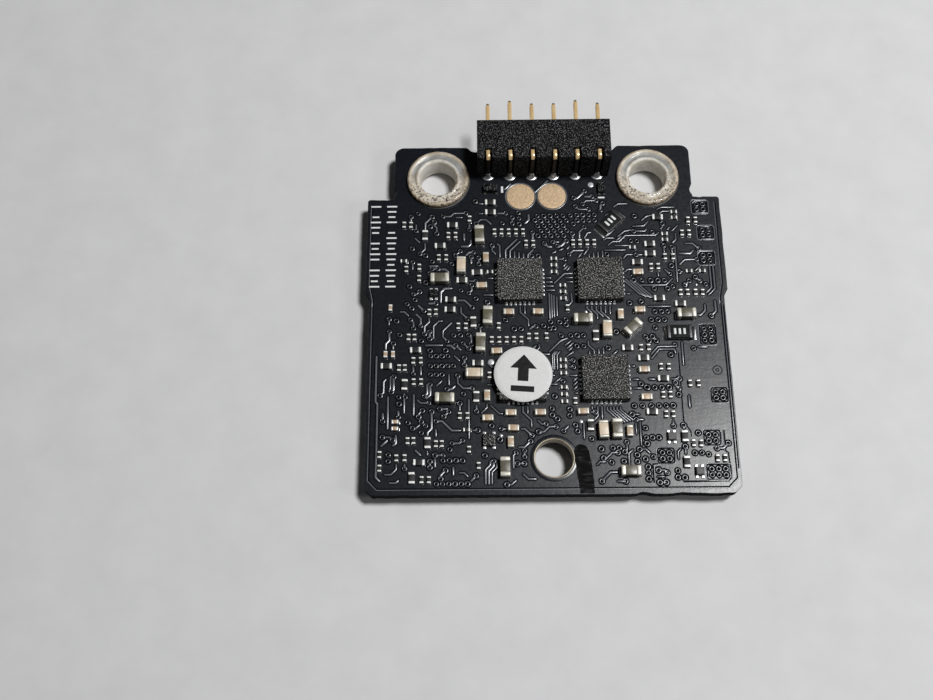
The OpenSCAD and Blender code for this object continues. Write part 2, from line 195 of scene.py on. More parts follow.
def revolve(profile, segments=48, closed=False):
    """Turns a profile of (radius, height) points about the z axis."""
    count = len(profile)
    points = []
    for i in range(segments):
        turn = 2 * math.pi * i / segments
        points += [(r * math.cos(turn), r * math.sin(turn), z) for r, z in profile]
    faces = []
    for i in range(segments):
        j = (i + 1) % segments
        for k in range(count if closed else count - 1):
            m = (k + 1) % count
            faces.append((i * count + k, j * count + k, j * count + m, i * count + m))
    if not closed:
        faces.append(tuple(i * count for i in reversed(range(segments))))
        faces.append(tuple(i * count + count - 1 for i in range(segments)))
    return points, faces


def arc(cx, cy, radius, start, end, steps):
    """Points of a circular arc, angles in degrees."""
    turns = np.radians(np.linspace(start, end, steps + 1))
    return [(cx + radius * math.cos(t), cy + radius * math.sin(t)) for t in turns]


def ridge(path, width, height):
    """A low rounded ridge along a path, like mask over a copper track."""
    section = [(across * width / 2, (1 - abs(across) ** 1.5) * height) for across in (-1, -0.5, 0, 0.5, 1)]
    return sweep(path, section, width / 2)


def strip(path, width, height, lean=0.008):
    """A flat band along a path, like the gap that parts two areas of copper."""
    half = width / 2
    section = [(-half, 0.0), (lean - half, height), (half - lean, height), (half, 0.0)]
    return sweep(path, section, half)


def sweep(path, section, reach, end_scale=0.15):
    """Carries a section of (across, up) points along a path of (x, y) points."""
    path = [np.array(p, float) for p in path]
    ends = (path[0] - path[1], path[-1] - path[-2])
    caps = [e / np.linalg.norm(e) * reach for e in ends]
    line = [path[0] + caps[0], *path, path[-1] + caps[1]]
    scale = [end_scale] + [1.0] * len(path) + [end_scale]
    points = []
    for i, p in enumerate(line):
        before = line[i] - line[i - 1] if i else line[1] - line[0]
        after = line[i + 1] - line[i] if i + 1 < len(line) else before
        along = before / np.linalg.norm(before) + after / np.linalg.norm(after)
        along /= np.linalg.norm(along)
        side = np.array([along[1], -along[0]])
        mitre = 1 / max(0.5, abs(np.dot(side, [before[1], -before[0]])) / np.linalg.norm(before))
        for across, up in section:
            q = p + side * across * scale[i] * mitre
            points.append((q[0], q[1], up * scale[i]))
    n = len(section)
    faces = grid_faces(len(line), n)
    faces.append(tuple(range(n)))
    faces.append(tuple(reversed(range((len(line) - 1) * n, len(line) * n))))
    return points, faces


def inset(loop, amount):
    """A closed outline moved inwards by amount, whichever way round it runs."""
    if not amount:
        return list(loop)
    pts = [np.array(p, float) for p in loop]
    area = sum(
        pts[i - 1][0] * pts[i][1] - pts[i][0] * pts[i - 1][1] for i in range(len(pts))
    )
    way = 1.0 if area > 0 else -1.0
    moved = []
    for i, p in enumerate(pts):
        a = p - pts[i - 1]
        b = pts[(i + 1) % len(pts)] - p
        na = np.array([-a[1], a[0]]) / max(np.linalg.norm(a), 1e-9)
        nb = np.array([-b[1], b[0]]) / max(np.linalg.norm(b), 1e-9)
        n = na + nb
        n /= max(np.dot(n, n) / 2, 0.35)
        moved.append(tuple(p + way * amount * n))
    return moved


def rectangle(x0, y0, x1, y1):
    return [(x0, y0), (x1, y0), (x1, y1), (x0, y1)]


def soft_rectangle(x0, y0, x1, y1, r, steps=3):
    """A rectangle with rounded corners."""
    centres = ((x1 - r, y1 - r), (x0 + r, y1 - r), (x0 + r, y0 + r), (x1 - r, y0 + r))
    outline = []
    for number, (cx, cy) in enumerate(centres):
        outline += arc(cx, cy, r, 90 * number, 90 * number + 90, steps)
    return outline


def place_at(x, y, z=0.0, turn=0.0):
    """Matrix that turns about z, in radians, and then moves."""
    return Matrix.Translation((x, y, z)) @ Matrix.Rotation(turn, 4, "Z")


# ---- Reading the CAD nodes ----
def islands(node):
    """Vertices of each separate solid of a CAD node, in board millimetres."""
    work = bmesh.new()
    work.from_mesh(frame["nodes"][node].data)
    bmesh.ops.remove_doubles(work, verts=work.verts[:], dist=1e-7)
    work.verts.ensure_lookup_table()
    seen = set()
    found = []
    for first in work.verts:
        if first.index in seen:
            continue
        seen.add(first.index)
        stack = [first]
        group = []
        while stack:
            v = stack.pop()
            group.append(board_point(v.co))
            for edge in v.link_edges:
                other = edge.other_vert(v)
                if other.index not in seen:
                    seen.add(other.index)
                    stack.append(other)
        found.append(np.array(group))
    work.free()
    found.sort(key=lambda g: (round(float(g[:, 1].mean()), 3), round(float(g[:, 0].mean()), 3)))
    return found


def middle(points):
    return (points.min(0) + points.max(0)) / 2


def solids(node):
    """Middle and size of each separate solid of a CAD node."""
    return [(middle(points), np.ptp(points, axis=0)) for points in islands(node)]


class Part:
    """Place, turn and size of one two-ended part, read from its CAD solids."""

    def __init__(self, body, ends):
        centre = middle(body)
        near = sorted(ends, key=lambda e: np.linalg.norm(middle(e)[:2] - centre[:2]))[:2]
        along = middle(near[1])[:2] - middle(near[0])[:2]
        along /= np.linalg.norm(along)
        if along[0] < -0.01 or (abs(along[0]) <= 0.01 and along[1] < 0):
            along = -along
        across = np.array([-along[1], along[0]])
        both = np.concatenate(near)
        self.height = float(both[:, 2].max())
        top = both[both[:, 2] > self.height - 0.01][:, :2] - centre[:2]
        self.length = float(np.ptp(top @ along))
        self.width = float(np.ptp(top @ across))
        self.foot = float(np.ptp((both[:, :2] - centre[:2]) @ along) - self.length) / 2
        self.end = (self.length - float(np.ptp((body[:, :2] - centre[:2]) @ along))) / 2
        self.x, self.y = float(centre[0]), float(centre[1])
        self.turn = math.atan2(along[1], along[0])


def parts_of(kind, body="_bodies"):
    """Parts whose bodies and metal ends are the nodes kind_bodies and kind_ends."""
    ends = islands(kind + "_ends")
    return [Part(points, ends) for points in islands(kind + body)]


# ---- Materials ----
class Nodes:
    """A short way to build the node tree of one material."""

    def __init__(self, name):
        self.material = bpy.data.materials.new(name)
        self.material.use_nodes = True
        self.tree = self.material.node_tree
        self.surface = self.tree.nodes["Principled BSDF"]
        self.place = self.node("ShaderNodeTexCoord").outputs["Object"]

    def node(self, kind, **values):
        made = self.tree.nodes.new(kind)
        for key, value in values.items():
            setattr(made, key, value)
        return made

    def link(self, a, b):
        self.tree.links.new(a, b)

    def maths(self, operation, a, b=None):
        made = self.node("ShaderNodeMath", operation=operation)
        for socket, value in zip(made.inputs, (a, b)):
            if isinstance(value, bpy.types.NodeSocket):
                self.link(value, socket)
            elif value is not None:
                socket.default_value = value
        return made.outputs[0]

    def noise(self, per_mm, detail=3.0, rough=0.6, stretch=(1, 1, 1)):
        """Noise with per_mm features to the millimetre, as a number output."""
        mapping = self.node("ShaderNodeMapping")
        scale = per_mm / MM
        mapping.inputs["Scale"].default_value = [scale * s for s in stretch]
        self.link(self.place, mapping.inputs["Vector"])
        texture = self.node("ShaderNodeTexNoise")
        texture.inputs["Scale"].default_value = 1.0
        texture.inputs["Detail"].default_value = detail
        texture.inputs["Roughness"].default_value = rough
        self.link(mapping.outputs[0], texture.inputs["Vector"])
        return texture.outputs["Fac"]

    def ramp(self, value, stops):
        """Colour ramp through (position, colour) stops."""
        ramp = self.node("ShaderNodeValToRGB")
        elements = ramp.color_ramp.elements
        while len(elements) < len(stops):
            elements.new(0.5)
        for element, (position, colour) in zip(elements, stops):
            element.position = position
            element.color = (*colour, 1.0)
        self.link(value, ramp.inputs[0])
        return ramp.outputs[0]

    def span(self, value, low, high, start=0.3, end=0.7):
        """Maps start..end of a number onto low..high."""
        spread = self.node("ShaderNodeMapRange")
        for name, number in zip(("From Min", "From Max", "To Min", "To Max"), (start, end, low, high)):
            spread.inputs[name].default_value = number
        self.link(value, spread.inputs["Value"])
        return spread.outputs["Result"]

    def mix(self, factor, a, b, blend="MIX"):
        """Mixes two colours, each a constant or an output."""
        mixer = self.node("ShaderNodeMix", data_type="RGBA", blend_type=blend)
        for socket, value in ((mixer.inputs[0], factor), (mixer.inputs[6], a), (mixer.inputs[7], b)):
            if isinstance(value, bpy.types.NodeSocket):
                self.link(value, socket)
            elif isinstance(value, (int, float)):
                socket.default_value = value
            else:
                socket.default_value = (*value, 1.0)
        return mixer.outputs[2]

    def colour(self, output):
        self.link(output, self.surface.inputs["Base Color"])

    def roughness(self, output):
        self.link(output, self.surface.inputs["Roughness"])

    def bump(self, *layers):
        """Stacks bumps, each (number output, depth in millimetres)."""
        normal = None
        for value, depth in layers:
            bump = self.node("ShaderNodeBump")
            bump.inputs["Strength"].default_value = 1.0
            bump.inputs["Distance"].default_value = depth * MM
            self.link(value, bump.inputs["Height"])
            if normal:
                self.link(normal, bump.inputs["Normal"])
            normal = bump.outputs[0]
        self.link(normal, self.surface.inputs["Normal"])

    def settings(self, **values):
        """Constants on the shader's own sockets, such as metallic=1."""
        for key, value in values.items():
            socket = self.surface.inputs[key.replace("_", " ").title().replace("Ior", "IOR")]
            socket.default_value = value


def speckled(name, dark, light, per_mm, rough, bump=0.0, vary=0.0, gloss=0.5):
    """A material with fine colour grain, uneven gloss and a slight relief."""
    n = Nodes(name)
    grain = n.noise(per_mm)
    colour = n.ramp(grain, [(0.3, dark), (0.7, light)])
    if vary:
        island = n.node("ShaderNodeNewGeometry").outputs["Random Per Island"]
        tone = n.span(island, 1.0 - vary, 1.0 + vary, 0.0, 1.0)
        combined = n.node("ShaderNodeCombineColor")
        for socket in combined.inputs[:3]:
            n.link(tone, socket)
        colour = n.mix(1.0, colour, combined.outputs[0], "MULTIPLY")
    n.colour(colour)
    n.roughness(n.span(n.noise(per_mm * 0.4, 2.0), rough[0], rough[1]))
    n.settings(specular_ior_level=gloss)
    if bump:
        n.bump((n.noise(per_mm * 1.5), bump))
    return n.material


def mask_material(name, dark, light, rough, gloss=0.47):
    """Blue-black solder mask: glossy, with faint weave, dust and scratches."""
    n = Nodes(name)
    tone = n.noise(0.25, 3.0)
    fine = n.noise(14.0, 2.0, 0.7)
    base = n.ramp(tone, [(0.3, dark), (0.7, light)])
    dust = n.ramp(fine, [(0.7, (0.0, 0.0, 0.0)), (0.82, (0.03, 0.031, 0.034))])
    n.colour(n.mix(0.6, base, dust, "ADD"))
    n.roughness(n.span(n.noise(3.0, 4.0), rough[0], rough[1]))
    weave_x = n.noise(2.6, 1.0, 0.5, (1.0, 0.35, 1.0))
    weave_y = n.noise(2.6, 1.0, 0.5, (0.35, 1.0, 1.0))
    n.bump((weave_x, 0.0025), (weave_y, 0.0025), (n.noise(5.0, 2.0), 0.0028))
    n.settings(specular_ior_level=gloss)
    return n.material


def edge_material():
    """Cut edge of the laminate: dark, with thin lighter glass layers; the dark is partly painted shade for
    the board's edge faces.
    """
    n = Nodes("laminate_edge")
    resin, glass, bright = (0.006, 0.006, 0.008), (0.016, 0.016, 0.018), (0.05, 0.047, 0.04)
    layers = n.noise(7.0, 2.0, 0.6, (0.12, 0.12, 1.0))
    n.colour(n.ramp(layers, [(0.35, resin), (0.62, glass), (0.78, bright)]))
    n.roughness(n.span(n.noise(8.0), 0.6, 0.85))
    n.bump((n.noise(10.0), 0.01))
    n.settings(specular_ior_level=0.12, ior=1.12)
    return n.material


def mix_of(a, b, share):
    """The colour that lies at share of the way from a to b."""
    return tuple(p + (q - p) * share for p, q in zip(a, b))


def chip_material(name, dark, light, bump, knee=0.47, gloss=0.18):
    """Matte moulding compound with a sandy, sparkling grain."""
    n = Nodes(name)
    grain = n.noise(9.5, 1.0, 0.5)
    cloud = n.noise(0.5, 2.0)
    base = n.ramp(grain, [(knee, dark), (knee + 0.09, mix_of(dark, light, 0.25)), (knee + 0.17, light)])
    n.colour(n.mix(n.span(cloud, 0.0, 0.1), base, mix_of(dark, light, 0.5)))
    n.roughness(n.span(grain, 0.8, 0.5))
    n.bump((grain, bump), (n.noise(9.0, 2.0), bump * 0.3))
    n.settings(specular_ior_level=gloss)
    return n.material


def grommet_material():
    """Soft translucent moulding: brown rim and dirt in front; behind the bore the wall is painted bright, a
    painted glow of light through the rubber, and the groove behind is painted grey as painted shade.
    """
    n = Nodes("grommet_rubber")
    low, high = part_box("grommet_right")
    centre = (low + high) / 2
    apart = n.node("ShaderNodeSeparateXYZ")
    n.link(n.place, apart.inputs[0])
    across = n.maths("SUBTRACT", n.maths("ABSOLUTE", apart.outputs["X"]), centre.x)
    along = n.maths("SUBTRACT", apart.outputs["Y"], centre.y)
    square = n.maths("ADD", n.maths("MULTIPLY", across, across), n.maths("MULTIPLY", along, along))
    outward = n.span(n.maths("SQRT", square), 0.0, 1.0, 1.6 * MM, 2.9 * MM)
    rim = [(0.72, (0.65, 0.58, 0.48)), (0.9, (0.5, 0.42, 0.32)), (1.0, (0.3, 0.22, 0.15))]
    front = n.ramp(outward, [(0.1, (0.82, 0.76, 0.66)), (0.2, (0.7, 0.645, 0.55))] + rim)
    # Behind the bore: painted glow on the wall and painted grey shade on the groove; the front keeps the
    # rubber's cream.
    bore = [(0.1, (0.9, 0.86, 0.79)), (0.26, (0.62, 0.61, 0.58)), (0.36, (0.34, 0.35, 0.345))]
    rear = n.ramp(outward, bore + [(0.6, (0.4, 0.405, 0.39))] + rim)
    # The front colours blend into the painted glow and shade towards the back.
    base = n.mix(n.span(along, 0.0, 1.0, -0.6 * MM, 0.9 * MM), front, rear)
    cloud = n.ramp(n.noise(0.9, 4.0, 0.65), [(0.36, (0.68, 0.65, 0.6)), (0.62, (1.0, 1.0, 1.0))])
    specks = n.noise(4.5, 4.0, 0.75)
    forward = n.span(along, 1.0, 0.1, -1.2 * MM, 0.8 * MM)
    spots = n.maths("MULTIPLY", n.span(specks, 0.0, 1.0, 0.52, 0.565), forward)
    n.colour(n.mix(spots, n.mix(1.0, base, cloud, "MULTIPLY"), (0.035, 0.024, 0.016)))
    n.roughness(n.span(n.noise(4.0), 0.32, 0.6))
    n.bump((n.noise(2.2, 4.0), 0.03), (specks, -0.012))
    n.settings(subsurface_weight=0.6, subsurface_scale=MM, subsurface_radius=(1.0, 0.9, 0.75))
    n.settings(coat_weight=0.15)
    return n.material


def marker_material():
    """Dull black ink, thin where the brush dragged across."""
    n = Nodes("marker_ink")
    thick, even, thin = (0.001, 0.001, 0.0012), (0.004, 0.004, 0.005), (0.02, 0.02, 0.023)
    drag = n.noise(3.0, 4.0, 0.7, (0.3, 1.0, 1.0))
    n.colour(n.ramp(drag, [(0.45, thick), (0.6, even), (0.68, thin)]))
    n.roughness(n.span(drag, 0.85, 0.55, 0.48, 0.62))
    n.bump((n.noise(5.0), 0.004))
    n.settings(specular_ior_level=0.15)
    return n.material


def solder_material(name, colour, rough, metallic=0.85):
    """Bright soft metal with a slightly dimpled skin."""
    n = Nodes(name)
    dull = tuple(c * 0.8 for c in colour)
    n.colour(n.ramp(n.noise(5.0, 3.0), [(0.3, dull), (0.7, colour)]))
    n.roughness(n.span(n.noise(6.0), rough[0], rough[1]))
    n.bump((n.noise(4.0, 2.0), 0.006))
    n.settings(metallic=metallic)
    return n.material


def gold_material(name, light, dark, rough, metallic=0.85, per_mm=2.0):
    """Plated gold with a fine matte grain."""
    n = Nodes(name)
    n.colour(n.ramp(n.noise(per_mm, 5.0), [(0.3, dark), (0.7, light)]))
    n.roughness(n.span(n.noise(10.0), rough[0], rough[1]))
    n.bump((n.noise(14.0, 3.0), 0.0015))
    n.settings(metallic=metallic)
    return n.material


MASK = mask_material("solder_mask", (0.0025, 0.0035, 0.0065), (0.005, 0.0063, 0.0105), (0.25, 0.31))
# Mask over the via rings and over copper: lighter than bare mask, as copper under mask is, and lighter still
# as painted highlight along the tracks and rings.
RING_AND_PAINTED_HIGHLIGHT = mask_material("mask_over_ring_painted_highlight", (0.021, 0.0235, 0.029), (0.038, 0.041, 0.049), (0.22, 0.32), 1.0)
TRACK_AND_PAINTED_HIGHLIGHT = mask_material("mask_over_copper_painted_highlight", (0.075, 0.081, 0.093), (0.13, 0.137, 0.153), (0.22, 0.3), 1.0)
EDGE = edge_material()
GAP = speckled(
    "copper_gap", (0.0008, 0.001, 0.0016), (0.002, 0.0025, 0.004), 6.0, (0.6, 0.8), 0.002, gloss=0.06,
)
# Near-black disc at each via's centre: painted shade for the depth of the hole.
HOLE_PAINTED_SHADE = speckled("via_hole_painted_shade", (0.0008, 0.0008, 0.001), (0.002, 0.002, 0.003), 6.0, (0.7, 0.9), gloss=0.08)
CHIP = chip_material("moulded_chip", (0.0005, 0.0005, 0.0005), (0.34, 0.334, 0.325), 0.05, 0.487, 0.13)
BLOCK = chip_material("header_plastic", (0.0003, 0.0003, 0.0004), (0.15, 0.15, 0.156), 0.05, 0.505, 0.04)
RUBBER = grommet_material()
SOLDER = solder_material("solder", (0.9, 0.91, 0.92), (0.18, 0.32), 0.6)
CONE = solder_material("pin_solder", (0.97, 0.98, 0.99), (0.28, 0.38), 0.85)
TIN = solder_material("tinned_end", (0.95, 0.95, 0.92), (0.2, 0.32), 0.12)
FILLET = solder_material("solder_fillet", (0.55, 0.55, 0.56), (0.2, 0.32), 1.0)
CAP_END = solder_material("fired_silver_end", (0.66, 0.64, 0.56), (0.26, 0.42), 0.25)
# Dark tin for the grommets' rings; on the small chips' pads by the header it is the header's painted shadow.
TIN_RING = solder_material("tinned_ring", (0.04, 0.04, 0.039), (0.45, 0.6), 0.6)
GOLD_PAD = gold_material("matte_gold", (0.66, 0.49, 0.31), (0.36, 0.25, 0.145), (0.5, 0.62), 0.35, 7.0)
GOLD_PIN = gold_material("pin_gold", (1.0, 0.74, 0.39), (0.85, 0.58, 0.27), (0.18, 0.3), 0.45, 0.8)
PIN_TIP = gold_material("cut_pin_end", (0.2, 0.15, 0.095), (0.09, 0.068, 0.045), (0.35, 0.5), 0.4)
# Lower legs of the header pins, painted near black: painted shade under the block's front.
PIN_LEG_PAINTED_SHADE = gold_material("leg_painted_shade", (0.012, 0.01, 0.008), (0.005, 0.004, 0.003), (0.45, 0.6), 0.2)
# Hole plating, darker than the gold pads: partly painted shade for the inside of the front hole.
PLATING = gold_material("hole_plating", (0.3, 0.26, 0.19), (0.16, 0.14, 0.1), (0.35, 0.5), 0.6)
CERAMIC = {"rough": (0.3, 0.45), "bump": 0.003}
GREY_CERAMIC = speckled(
    "grey_ceramic", (0.072, 0.066, 0.042), (0.13, 0.121, 0.082), 6.0, vary=0.12, **CERAMIC,
)
CREAM_CERAMIC = speckled(
    "cream_ceramic", (0.54, 0.43, 0.31), (0.66, 0.55, 0.42), 5.0, vary=0.08, **CERAMIC,
)
TAN_CERAMIC = speckled(
    "tan_ceramic", (0.36, 0.25, 0.155), (0.52, 0.395, 0.275), 6.0, vary=0.15, **CERAMIC,
)
RESISTOR = speckled(
    "resistor_film", (0.008, 0.008, 0.0095), (0.03, 0.029, 0.028),
    8.0, (0.4, 0.6), 0.003, vary=0.4, gloss=0.25,
)
SHUNT = speckled(
    "shunt_coating", (0.0015, 0.0015, 0.0018), (0.005, 0.005, 0.0055), 7.0, (0.5, 0.65), 0.004, gloss=0.15,
)
SHUNT_END = solder_material("shunt_end", (0.05, 0.05, 0.053), (0.25, 0.4), 0.5)
CERAMIC_BASE = speckled("ceramic_base", (0.08, 0.08, 0.078), (0.14, 0.138, 0.13), 6.0, (0.4, 0.6), 0.003)
LID = speckled("metal_lid", (0.07, 0.07, 0.072), (0.14, 0.14, 0.142), 7.0, (0.5, 0.65), 0.002, gloss=0.3)
PAPER = speckled("label_paper", (0.6, 0.6, 0.595), (0.68, 0.68, 0.675), 7.0, (0.55, 0.75), 0.003)
PRINT = speckled(
    "print_ink", (0.005, 0.0045, 0.0045), (0.014, 0.013, 0.013), 9.0, (0.6, 0.8), 0.002, gloss=0.2,
)
WHITE_INK = speckled("white_ink", (0.6, 0.61, 0.61), (0.8, 0.81, 0.81), 10.0, (0.45, 0.6), 0.003)
FLOOR = speckled("pale_floor", (0.6, 0.6, 0.605), (0.64, 0.64, 0.645), 0.25, (0.8, 0.9), 0.02)
MARKER = marker_material()
POWER = chip_material("power_case", (0.012, 0.012, 0.013), (0.05, 0.05, 0.052), 0.012)


# ---- Board ----
def prism(outline, levels, holes=()):
    """A plate whose outline is set in by a given amount at each (height, inset)."""
    points, faces, top, bottom = [], [], [], []
    for number, loop in enumerate([outline, *holes]):
        n = len(loop)
        start = len(points)
        for z, amount in levels:
            moved = inset(loop, -amount if number else amount)
            points.extend((x, y, z) for x, y in moved)
        faces += grid_faces(len(levels), n, True, start)
        bottom.append(list(range(start, start + n)))
        top.append(list(range(len(points) - n, len(points))))
    for rings in (top, bottom):
        flat = [[Vector((points[i][0], points[i][1], 0)) for i in ring] for ring in rings]
        order = [i for ring in rings for i in ring]
        faces.extend(tuple(order[i] for i in tri) for tri in tessellate_polygon(flat))
    return points, faces


def top_loops(node):
    """Outlines of the flat upper face of a CAD node, the longest one first."""
    work = bmesh.new()
    work.from_mesh(frame["nodes"][node].data)
    bmesh.ops.remove_doubles(work, verts=work.verts[:], dist=1e-7)
    top = max(v.co.z for v in work.verts) - 1e-6
    flat = {f for f in work.faces if all(v.co.z > top for v in f.verts)}
    follows = {}
    for face in flat:
        for loop in face.loops:
            others = [f for f in loop.edge.link_faces if f in flat]
            if len(others) == 1:
                follows[loop.vert.index] = (loop.link_loop_next.vert.index, loop.vert.co.copy())
    loops = []
    while follows:
        first = next(iter(follows))
        here = first
        points = []
        while here in follows:
            nxt, place = follows.pop(here)
            points.append(tuple(board_point(place)[:2]))
            here = nxt
        loops.append(points)
    work.free()
    loops.sort(key=len, reverse=True)
    loops.sort(key=lambda p: -np.ptp(np.array(p)[:, 0]))
    return loops


def routed_edge(loop, step, depth):
    """The outline with a slightly uneven, routed edge that stays inside it."""
    fine = []
    for i, start in enumerate(loop):
        a = np.array(start)
        b = np.array(loop[(i + 1) % len(loop)])
        pieces = max(1, int(np.linalg.norm(b - a) / step))
        fine.extend(a + (b - a) * k / pieces for k in range(pieces))
    moved = []
    for i, p in enumerate(fine):
        along = fine[(i + 1) % len(fine)] - fine[i - 1]
        along /= max(np.linalg.norm(along), 1e-9)
        inward = np.array([-along[1], along[0]])
        ragged_front = 1.0 if p[1] < 1.0 and p[0] > 7 else 0.0
        uneven = 0.5 + 0.5 * wave(p[0] * 1.7, p[1] * 1.7, 0.3)
        chipped = max(0.0, wave(p[0] * 0.6, p[1] * 0.6, 5.1) + 0.1 * ragged_front)
        amount = depth * uneven + chipped * depth * (1 + 4 * ragged_front)
        moved.append(tuple(p + inward * amount))
    return moved


def rounded_corners(loop, radius):
    """The outline with its sharp corners rounded off."""
    count = len(loop)
    moved = []
    for i, corner in enumerate(loop):
        back = np.subtract(loop[i - 1], corner)
        ahead = np.subtract(loop[(i + 1) % count], corner)
        reach = min(np.linalg.norm(back), np.linalg.norm(ahead)) * 0.45
        back = back / np.linalg.norm(back)
        ahead = ahead / np.linalg.norm(ahead)
        turn = math.pi - math.acos(max(-1.0, min(1.0, float(np.dot(back, ahead)))))
        if math.degrees(turn) < 30:
            moved.append(corner)
            continue
        leg = min(radius * math.tan(turn / 2), reach)
        for k in range(7):
            t = k / 6
            bend = (1 - t) ** 2 * back * leg + t ** 2 * ahead * leg
            moved.append(tuple(np.array(corner) + bend))
    return moved


def make_board():
    """The laminate: mask on both faces, bare glass and resin at the cut edge."""
    bevel = 0.035
    loops = top_loops("pcb")
    outline = routed_edge(rounded_corners(loops[0], 0.6), 0.3, 0.05)
    levels = [(-BOARD_T, bevel), (-BOARD_T + bevel, 0), (-bevel, 0), (0, bevel)]
    points, faces = prism(outline, levels, loops[1:])
    heights = np.array(points)[:, 2]
    board = Shape()
    board.points.append(np.array(points))
    board.faces.extend(faces)
    for face in faces:
        z = heights[list(face)]
        side = z.min() < -bevel * 1.5 and z.max() > -BOARD_T + bevel * 1.5
        board.slots.append(1 if side else 0)
    board.piece("circuit_board", [MASK, EDGE], ["pcb"], "pcb", 20)


# ---- Small parts with two metal ends ----
def skirt(x0, x1, half_w, height, reach, side_reach=0.05, rows=4):
    """Concave solder around three sides of an end that faces +x."""
    outline = [(x0, -half_w, 0.0, -1.0)]
    for cy, start in ((-half_w, -90), (half_w, 0)):
        for turn in (start, start + 45, start + 90):
            t = math.radians(turn)
            outline.append((x1, cy, math.cos(t), math.sin(t)))
    outline.append((x0, half_w, 0.0, 1.0))
    points = []
    for k in range(rows + 1):
        t = k / rows
        z = height * (1 - t) ** 2.2
        for x, y, nx, ny in outline:
            points.append((x + nx * reach * t, y + ny * side_reach * t, z))
    n = len(outline)
    left = [k * n for k in range(rows + 1)]
    right = [k * n + n - 1 for k in reversed(range(rows + 1))]
    faces = grid_faces(rows + 1, n, False)
    faces.append(tuple(range(n)))
    faces.append(tuple(rows * n + i for i in reversed(range(n))))
    faces.append(tuple(left + right))
    return points, faces


def add_ends(ends, part, place, edge, pad):
    """Adds both metal ends of a part, and the solder that climbs them."""
    middle_x = (part.length - part.end) / 2
    cap = rounded_box(part.end, part.width, part.height - 0.01, edge, 3, floor_z=0.01)
    corner = edge * 0.4
    inner, outer = part.length / 2 - part.end, part.length / 2 - corner
    wedge = skirt(inner, outer, part.width / 2 - corner, part.height * 0.62, part.foot + corner, pad)
    for turn in (0, math.pi):
        facing = place @ Matrix.Rotation(turn, 4, "Z")
        ends.add(cap, facing @ Matrix.Translation((middle_x, 0, 0)), 0)
        ends.add(wedge, facing, 1)


def passive_body(part, edge, drop):
    """The part between the metal ends, a little lower and narrower than they are."""
    length = part.length - 2 * part.end + 0.04
    return rounded_box(length, part.width - drop, part.height - drop, edge, 2)


def make_passives(kind, body_material, end_material, finish, edge, drop):
    """All parts of one kind: one piece for the bodies and one for the ends."""
    bodies, ends = Shape(), Shape()
    for part in parts_of(kind):
        turn = part.turn + random.uniform(-0.035, 0.035)
        shift = random.uniform(-0.012, 0.012)
        place = place_at(part.x + shift, part.y - shift, 0.0, turn)
        bodies.add(passive_body(part, edge * 0.5, drop), place)
        add_ends(ends, part, place, edge, 0.05)
    bodies.piece(kind + "s_bodies", [body_material], [kind + "_bodies"], finish, 50)
    ends.piece(kind + "s_ends", [end_material, FILLET], [kind + "_ends"], "solder", 60)


def make_all_passives():
    """Every kind of capacitor and resistor that has a body between two metal ends."""
    make_passives("grey_capacitor", GREY_CERAMIC, CAP_END, "grey_ceramic", 0.11, 0.03)
    make_passives("cream_capacitor", CREAM_CERAMIC, CAP_END, "cream_ceramic", 0.1, 0.03)
    make_passives("small_capacitor", TAN_CERAMIC, CAP_END, "tan_ceramic", 0.07, 0.02)
    make_passives("resistor", RESISTOR, TIN, "resistor_black", 0.045, 0.012)
    make_passives("tiny_resistor", RESISTOR, TIN, "resistor_black", 0.05, 0.01)
    make_passives("tiny_capacitor", TAN_CERAMIC, TIN, "tan_ceramic", 0.05, 0.01)


def make_shunt(name):
    """A wide current sensing resistor: dark glaze, white marks, thin metal ends."""
    part = parts_of(name, "_body")[0]
    place = place_at(part.x, part.y, 0.0, part.turn)
    length = part.length - 2 * part.end
    tall = part.height
    body = Shape()
    body.add(rounded_box(length + 0.08, part.width, tall * 0.55, 0.03, 2, floor_z=0.08), place, 1)
    glaze = rounded_box(length + 0.05, part.width - 0.04, tall * 0.35, 0.06, 3, floor_z=tall * 0.64)
    body.add(glaze, place, 0)
    for i in (-1, 0, 1):
        mark = rounded_box(0.2, 0.54, 0.012, 0.004, 1, floor_z=tall * 0.99 - 0.006)
        body.add(mark, place @ Matrix.Translation((i * 0.41, 0, 0)), 2)
    materials = [SHUNT, CERAMIC_BASE, WHITE_INK]
    body.piece(name + "_body_detail", materials, [name + "_body"], "shunt_black", 50)
    ends = Shape()
    add_ends(ends, part, place, 0.06, 0.06)
    ends.piece(name + "_ends_detail", [SHUNT_END, FILLET], [name + "_ends"], "solder", 60)


# ---- Chips ----
# A solid of the leads' node that is longer than this is the chip's centre pad.
LEAD_MAX = 1.0


def chip_lead(leads, centre, size, turn, reach):
    """One lead: a thin end that shows at the chip's side, and its foot of solder."""
    half = min(size[:2]) / 2
    tall = size[2] * random.uniform(0.85, 1.1)
    place = place_at(centre[0], centre[1], 0.0, turn) @ Matrix.Translation((-reach, 0, 0))
    leads.add(rounded_box(0.06, half * 1.7, tall, 0.02, 2), place)
    foot = max(size[:2]) / 2 + reach - 0.03
    leads.add(skirt(-0.05, 0.02, half * 0.7, tall * 0.85, foot, half * 0.35), place)


